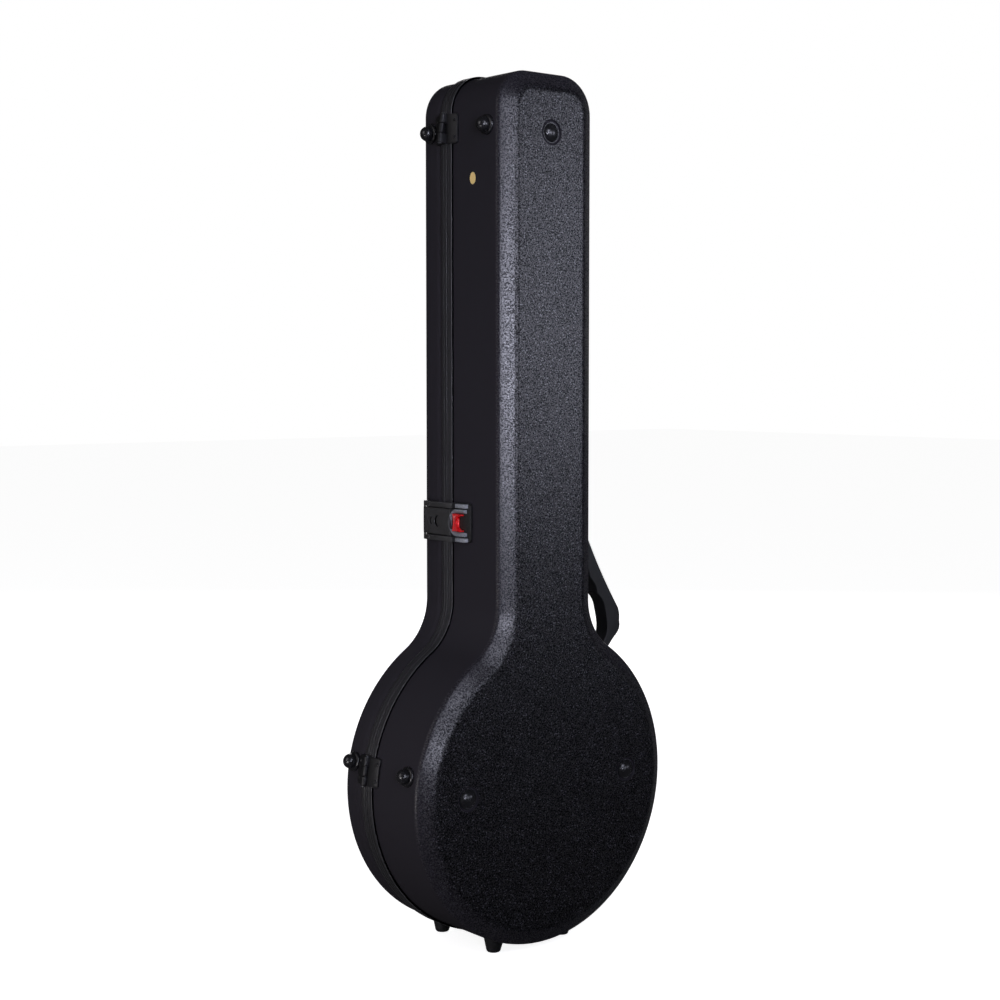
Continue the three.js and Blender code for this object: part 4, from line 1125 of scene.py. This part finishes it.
# The catch plate's plastic: the same black latch plastic made far darker, as painted shade over the plate.
catch_shade_black = latch_plastic("catch_shade_black", (0.001, 0.001, 0.001, 1.0), (0.004, 0.004, 0.004, 1.0), 0.6)
latch_red = latch_plastic("latch_red", (0.48, 0.003, 0.005, 1.0), (0.9, 0.012, 0.018, 1.0), 0.3, 300.0)
latch_walls = {
    "left": neck_wall(-1, 0.515),
    "right_upper": neck_wall(1, case_length - 0.155),
    "right_middle": neck_wall(1, 0.65),
    "pot": pot_wall(math.radians(-15.0)),
}
for latch_name, latch_axes in latch_walls.items():
    pieces = [
        ("frame", latch_frame_parts(), latch_black, "lid", "latch_black"),
        ("lever", [lever_mesh()], latch_black, f"lever_{latch_name}", "latch_black"),
        ("catch", catch_parts(), latch_grey, "base", "latch_grey"),
        ("catch_plate", catch_plate_parts(), catch_shade_black, "base", "latch_black"),
        ("button", button_parts(), latch_red, f"button_{latch_name}", "latch_red"),
    ]
    for piece_name, piece_parts, piece_material, piece_body, piece_slot in pieces:
        latch_node = f"latch_{latch_name}_{piece_name}"
        replaced = [] if piece_name == "catch_plate" else [latch_node]
        add_joined(f"{latch_node}_shape", piece_parts, latch_axes, piece_material, piece_body,
                   piece_slot, *replaced)
    rod = bar_along_x(latch_pin_radius, seat_gap - latch_half, latch_half - seat_gap)
    rod.transform(Matrix.Translation((0, lever_pin_reach, (lever_top + lever_under) / 2)))
    add_joined(f"latch_{latch_name}_rod", [rod], latch_axes, paint, "lid", "pin",
               f"latch_{latch_name}_pin")

# Handle
# A moulded rubber grip with finger waves inside, on a steel pin at each end. Each pin sits in the
# ear of a bracket that is riveted to the base's right wall.
handle_reach = -0.032
handle_upper_z = 0.548
handle_lower_angle = math.radians(45.0)
handle_stand = 0.016
handle_width = 0.022
boss_radius = 0.008
boss_half = 0.0055
handle_pin_radius = 0.0025
bracket_ear = 0.0045
ear_neck = -0.006
ear_flare = -0.0125
ear_foot = -handle_stand - 0.001
bracket_half_length = 0.017
bracket_half_width = 0.01
bracket_corner = 0.005
bracket_edge = 0.0008
bracket_plate = 0.003
bracket_ribs = (-0.011, -0.0077, 0.0077, 0.011)
bracket_rib_half = 0.0008
bracket_rib_reach = 0.0085
bracket_rivet = 0.0138
bracket_rivet_radius = 0.0022
grip_corner_rise = 0.036
grip_corner_start = 0.014
grip_corner_end = 0.038
grip_corner_drop = 0.009
grip_top_rise = 0.002
grip_bow = 0.006
grip_depth = 0.02
grip_post = 0.015
grip_edge = 0.0055
finger_pitch = 0.024
finger_depth = 0.0026
finger_start = 0.05
finger_count = 5


def grip_outline(span):
    """The grip seen along the seam, x up from the lower pin and y outwards: a post that rises to a
    rounded corner, a back that slopes to the upper pin with a bow of the second degree, and finger
    waves inside, each a quadratic curve."""
    slope = (grip_corner_rise - grip_top_rise) / (span - grip_corner_end)
    fingers_end = finger_start + finger_count * finger_pitch

    def back(x):
        """The back's height: a straight slope less a bow that is greatest halfway."""
        way = np.clip((x - grip_corner_end) / (span - grip_corner_end), 0.0, 1.0)
        return grip_corner_rise - slope * (x - grip_corner_end) - grip_bow * 4 * way * (1 - way)

    def front(x):
        """The inner side's height: the grip's depth below the back."""
        return back(x) - grip_depth

    corner_middle = ((grip_corner_start + grip_corner_end) / 2, grip_corner_rise - grip_corner_drop / 2)
    knee = grip_corner_end + grip_corner_drop
    post_top = (grip_corner_start - grip_corner_drop / 2, grip_corner_rise - 2 * grip_corner_drop)
    parts = [[(-boss_radius / 2, -boss_radius / 2), post_top]]
    route = [
        ((grip_corner_start, corner_middle[1]), corner_middle),
        ((grip_corner_end, grip_corner_rise + seat_gap), (knee, back(knee))),
    ]
    tail = [
        ((span, back(span)), (span + boss_radius / 2, 0.0)),
        ((span, -boss_radius), (span - boss_radius, -boss_radius)),
        ((fingers_end + finger_pitch / 2, front(fingers_end)), (fingers_end, front(fingers_end))),
    ]
    for i in reversed(range(finger_count)):
        middle = finger_start + (i + 0.5) * finger_pitch
        to = finger_start + i * finger_pitch
        tail.append(((middle, front(middle) + 2 * finger_depth), (to, front(to))))
    tail.append(((grip_post + boss_radius, front(finger_start)), (grip_post, boss_radius / 2)))
    for control, point in route:
        parts.append(quadratic(parts[-1][-1], control, point)[1:])
    along_back = np.linspace(knee, span - boss_radius, 24)[1:]
    parts.append(np.column_stack([along_back, back(along_back)]))
    for control, point in tail:
        parts.append(quadratic(parts[-1][-1], control, point)[1:])
    parts.append([(boss_radius, -boss_radius / 2)])
    return np.concatenate([np.asarray(part, float) for part in parts])


lower_pin = np.array([
    (pot_radius + handle_stand) * math.cos(handle_lower_angle),
    pot_radius + (pot_radius + handle_stand) * math.sin(handle_lower_angle),
])
upper_pin = np.array([neck_half + handle_stand, handle_upper_z])
pin_span = float(np.hypot(*(upper_pin - lower_pin)))
handle_along = (upper_pin - lower_pin) / pin_span
handle_out = (handle_along[1], -handle_along[0])
to_handle = Matrix((
    (handle_along[0], handle_out[0], 0.0, lower_pin[0]),
    (0.0, 0.0, 1.0, seam_y + handle_reach),
    (handle_along[1], handle_out[1], 0.0, lower_pin[1] + ground_to_pot),
    (0.0, 0.0, 0.0, 1.0),
))


def handle_rubber():
    """Moulded rubber: soft satin, a fine skin, and lighter clouds where hands have rubbed."""
    material, tree, shader = new_material("handle_rubber")
    cloud = noise(tree, Scale=45.0, Detail=4.0)
    skin = use_group(tree, grain, Scale=1200.0)
    set_sockets(tree, shader, {
        "Base Color": mixed(tree, cloud, (0.004, 0.0039, 0.0043, 1.0), (0.009, 0.0088, 0.0092, 1.0)),
        "Specular IOR Level": 0.4,
        "Roughness": mapped(tree, cloud, 0.3, 0.7, 0.48, 0.62),
        "Normal": bumped(tree, skin["Height"], 0.3, 0.0001),
    })
    return material


grip_rubber = handle_rubber()
grip_body = prism(grip_outline(pin_span), -handle_width / 2, handle_width / 2)
grip_parts = [softened(grip_body, grip_edge, 5, 50)]
for place in (0.0, pin_span):
    grip_parts.append(bar_along_x(boss_radius, place - boss_half, place + boss_half, 0.0008, 40))
add_joined("handle_grip_shape", grip_parts, to_handle, grip_rubber, "handle", "handle", "handle_grip")


def bracket_parts(place, far, wall_out, pin_place):
    """A bracket: its ear stands on the far side of the grip's end, round over the pin and flared
    towards its foot, and the foot is a ribbed plate with two rivets on the wall."""
    near = place + far * (boss_half + run_gap)
    flare = bracket_half_width
    ear_profile = np.concatenate([
        arc((0.0, 0.0), boss_radius, 0.0, math.pi, 20),
        [(-boss_radius, ear_neck), (-flare, ear_flare), (-flare, ear_foot),
         (flare, ear_foot), (flare, ear_flare), (boss_radius, ear_neck)],
    ])
    ear = across_prism(ear_profile[:, ::-1], *sorted((near, near + far * bracket_ear)), 0.0007)
    shift = far * (boss_half + run_gap + bracket_ear / 2)
    wall_out = np.array(wall_out)
    wall_up = np.array([-wall_out[1], wall_out[0]])
    foot_place = np.array(pin_place) + wall_up * shift - wall_out * handle_stand
    foot_axes = frame_matrix(wall_up, wall_out, foot_place)
    foot_axes[1][3] += handle_reach
    corner_x = bracket_half_length - bracket_corner
    corner_y = bracket_half_width - bracket_corner
    corners = [(corner_x, corner_y), (-corner_x, corner_y), (-corner_x, -corner_y), (corner_x, -corner_y)]
    foot_outline = np.concatenate([
        arc(corner, bracket_corner, i * math.pi / 2, (i + 1) * math.pi / 2, 6)
        for i, corner in enumerate(corners)])
    foot_parts = [prism(foot_outline, -bracket_edge, bracket_plate, bracket_edge)]
    for rib in bracket_ribs:
        rib_outline = rectangle(rib - bracket_rib_half, rib + bracket_rib_half,
                                -bracket_rib_reach, bracket_rib_reach)
        foot_parts.append(prism(rib_outline, bracket_plate - 0.0005, bracket_plate + 0.0011, 0.0004))
    for rivet_place in (-bracket_rivet, bracket_rivet):
        rivet = revolved([
            (0, 0.002), (bracket_rivet_radius, 0.002), (bracket_rivet_radius, bracket_plate),
            *arc((0, bracket_plate - 0.001), bracket_rivet_radius, 0.5, math.pi / 2, 6),
        ], 20)
        rivet.transform(Matrix.Translation((rivet_place, 0, 0)))
        foot_parts.append(rivet)
    foot = joined("foot", foot_parts, to_handle.inverted() @ foot_axes)
    return [ear, foot]


bracket_places = {
    "lower": (0.0, -1, (math.cos(handle_lower_angle), math.sin(handle_lower_angle)), lower_pin),
    "upper": (pin_span, 1, (1.0, 0.0), upper_pin),
}
for bracket_name, (place, far, wall_out, pin_place) in bracket_places.items():
    bracket_node = f"handle_bracket_{bracket_name}"
    bracket = bracket_parts(place, far, wall_out, pin_place)
    add_joined(f"{bracket_node}_shape", bracket, to_handle, grip_rubber, "base", "handle", bracket_node)
    ends = sorted((place + far * (seat_gap - boss_half), place + far * (boss_half + run_gap + bracket_ear)))
    add_joined(f"handle_rod_{bracket_name}", [bar_along_x(handle_pin_radius, *ends)], to_handle, steel,
               "base", "pin", f"handle_pin_{bracket_name}")

# Round sticker
# A small plain disc of gold foil on the base's left wall, below the upper stud. It is pressed
# flat on the wall, with a slightly raised ring near its edge.
disc_radius = 0.0072
disc_reach = -0.0475
disc_z = 0.9253
disc_squeeze = 0.74


def gold_foil():
    """Gold foil: warm metal with a fine crinkle."""
    material, tree, shader = new_material("gold_foil")
    crinkle = noise(tree, Scale=900.0, Detail=3.0)
    set_sockets(tree, shader, {
        "Base Color": mixed(tree, crinkle, (0.84, 0.58, 0.19, 1.0), (1.0, 0.78, 0.33, 1.0)),
        "Metallic": 0.15,
        "Roughness": mapped(tree, crinkle, low=0.35, high=0.6),
        "Normal": bumped(tree, crinkle, 0.4, 0.00008),
    })
    return material


disc_profile = [
    (0, -0.0001), (disc_radius, -0.0001), (disc_radius, 0.0001), (disc_radius - 0.0001, 0.00018),
    (disc_radius - 0.0012, 0.0002), (disc_radius - 0.0015, 0.00014), (0, 0.00014),
]
disc_place = neck_wall(-1, disc_z) @ Matrix.Translation((0, disc_reach, 0))
disc_place = disc_place @ Matrix.Diagonal((1, disc_squeeze, 1, 1))
add_joined("round_sticker", [revolved(disc_profile, 64)], disc_place, gold_foil(), "base", "pin")

# Linings and blocks
# Black plush over foam: a liner in each shell, two notched cradles and a block under the head,
# and the accessory box with its flap. Corners and rims are softly rolled.
base_lining = 0.008
lid_lining = 0.006
lining_rim_gap = 0.0096
lining_bow = 0.0008
lining_bow_depth = 0.02
lining_side_round = 0.011
lining_face_round = 0.009
block_top_reach = 0.02
notch_half = 0.027
notch_floor = 0.048
notch_round = 0.016
cradle_length = 0.044
head_block_length = 0.06
head_block_top = 0.052
cradles = {"lower": 0.47, "upper": 0.79}
head_block_z = case_length - 0.125
box_z = 0.59
box_length = 0.1
box_top = 0.062
box_wall = 0.005
flap_thickness = 0.004
box_pin_radius = 0.0015
box_knuckle = 0.003
box_ear = 0.005
tab_half = 0.009
tab_thickness = 0.0016
tab_overlap = 0.005


def plush_cloth():
    """Short black pile: a fine fibre bump, soft brushed patches and a sheen at grazing angles."""
    material, tree, shader = new_material("plush_cloth")
    fibre = noise(tree, Scale=1600.0, Detail=4.0, Roughness=0.7)
    brushed = noise(tree, Scale=28.0, Detail=3.0, Distortion=1.2)
    pile = mapped(tree, worked_out(tree, "MULTIPLY", fibre, brushed), 0.12, 0.4)
    set_sockets(tree, shader, {
        "Base Color": mixed(tree, pile, (0.009, 0.009, 0.011, 1.0), (0.045, 0.045, 0.052, 1.0)),
        "Roughness": 0.95,
        "Specular IOR Level": 0.2,
        "Sheen Weight": 0.35,
        "Sheen Roughness": 0.5,
        "Normal": bumped(tree, fibre, 0.7, 0.0006),
    })
    return material


def lining_profile(depth, thickness):
    """The liner's section as (inset, distance from the seam): out along the shell's inside, over a
    rolled rim, and back along a face whose corners are soft."""
    outer = wall + seat_gap
    outer_side, outer_face = band_ends(outer)
    inner_side, inner_face = band_ends(outer + thickness)
    rim = depth - lining_rim_gap
    roll = thickness / 2
    back = np.array([outer_face, outer_side, (outer, rim - roll)])
    over_rim = arc((outer + roll, rim - roll), roll, math.pi, 0.0, 8)
    side_bow = [(outer + thickness + lining_bow, rim - roll - lining_bow_depth)]
    side_corner = rounded((outer + thickness, rim), inner_side, inner_face, lining_side_round)
    face_corner = rounded(inner_side, inner_face, inner_face + (0.02, 0.0), lining_face_round)
    both = np.concatenate([back, over_rim, side_bow, side_corner, face_corner])
    return both * (1.0, -1.0) + (0.0, depth)


plush = plush_cloth()
for lining_name, lining_side, lining_depth, thickness in (
        ("base", -1, base_depth, base_lining), ("lid", 1, lid_depth, lid_lining)):
    liner_name = f"{lining_name}_plush_liner"
    lining_rows = ring_rows(lining_profile(lining_depth, thickness), lining_side)
    lining_mesh = sharpened(grid_mesh(liner_name, lining_rows), 60)
    liner = add_piece(liner_name, lining_mesh, plush, lining_name, "plush", f"{lining_name}_lining")


def block_corners(top_reach):
    """Half of a block's outline across the neck, from the liner's floor up to a level."""
    side, face = band_ends(wall + seat_gap + base_lining)
    return [(neck_half - face[0] - seat_gap, face[1] + seat_gap - base_depth),
            (neck_half - side[0] - seat_gap, side[1] + seat_gap - base_depth),
            (neck_half - side[0] - seat_gap, -top_reach)]


def block_mesh(top_reach, length, notched, edge=0.0035):
    """A foam block across the neck: its outline in x and y, with the round-bottomed notch that the
    neck lies in, given length and rolled edges."""
    right = block_corners(top_reach)
    points = list(right)
    if notched:
        floor = -notch_floor
        inner = notch_half - notch_round
        above = floor + notch_round
        points.append((notch_half, -top_reach))
        points.extend(quadratic((notch_half, above), (notch_half, floor), (inner, floor), 8)[1:])
        points.extend(quadratic((-inner, floor), (-notch_half, floor), (-notch_half, above), 8)[1:])
        points.append((-notch_half, -top_reach))
    points.extend((-x, y) for x, y in reversed(right))
    mesh = prism(points, 0.0, length)
    return softened(mesh, edge, 4, 30)


def in_base(height):
    """Moves a block from its own height 0 to its place in the case."""
    return Matrix.Translation((0, seam_y, height + ground_to_pot))


def add_pad(name, parts, height, body, node):
    """Puts plush-covered parts in the scene at a height in the case, as one piece."""
    pad = add_joined(name, parts, in_base(height), plush, body, "plush", node)


for cradle_name, cradle_z in cradles.items():
    cradle = block_mesh(block_top_reach, cradle_length, True)
    add_pad(f"neck_cradle_{cradle_name}_pad", [cradle], cradle_z, "base", f"neck_cradle_{cradle_name}")
head_block = block_mesh(head_block_top, head_block_length, False)
add_pad("head_pad", [head_block], head_block_z, "base", "head_block")


def box_between(low, high):
    """A box by its lowest and highest corners."""
    return prism(rectangle(low[0], high[0], low[1], high[1]), low[2], high[2])


box_corners = block_corners(box_top)
box_half = box_corners[1][0]
cavity_half = box_corners[0][0]
box_floor = box_corners[0][1]
box_pin_y = -box_top + box_knuckle + run_gap
box_pin_z = box_length - box_knuckle - run_gap
cavity = softened(box_between((-cavity_half, box_floor + box_wall, box_wall),
                              (cavity_half, 0.02, box_length - box_wall)), 0.002, 3)
box_parts = [carved(block_mesh(box_top, box_length, False, 0.0015), cavity)]
for side in (-1, 1):
    start, end = sorted((side * box_half, side * (box_half - box_ear)))
    ear_profile = np.concatenate([
        arc((box_pin_y, box_pin_z), box_knuckle, math.pi / 2, -math.pi / 2, 12),
        [(-box_top - 0.002, box_pin_z - box_knuckle), (-box_top - 0.002, box_pin_z + box_knuckle)]])
    box_parts.append(across_prism(ear_profile, start, end, 0.0004))
add_pad("accessory_box_shape", box_parts, box_z, "base", "compartment_box")
flap_half = box_half - box_ear - run_gap
flap_low = -box_top + seat_gap
flap_top = flap_low + flap_thickness
flap_board = box_between((-flap_half, flap_low, 0.0002), (flap_half, flap_top, box_pin_z))
flap_roll = bar_along_x(box_knuckle, -flap_half, flap_half, 0.0005)
flap_roll.transform(Matrix.Translation((0, box_pin_y, box_pin_z)))
flap_tab = box_between((-tab_half, flap_low, -tab_half), (tab_half, flap_low + tab_thickness, tab_overlap))
flap_parts = [softened(flap_board, 0.0012, 3), flap_roll, softened(flap_tab, 0.0006, 2)]
add_pad("accessory_flap", flap_parts, box_z, "compartment_lid", "compartment_lid")
box_rod = bar_along_x(box_pin_radius, seat_gap - box_half, box_half - seat_gap)
box_rod.transform(Matrix.Translation((0, box_pin_y, box_pin_z)))
add_joined("accessory_box_rod", [box_rod], in_base(box_z), steel, "base", "pin", "compartment_pin")
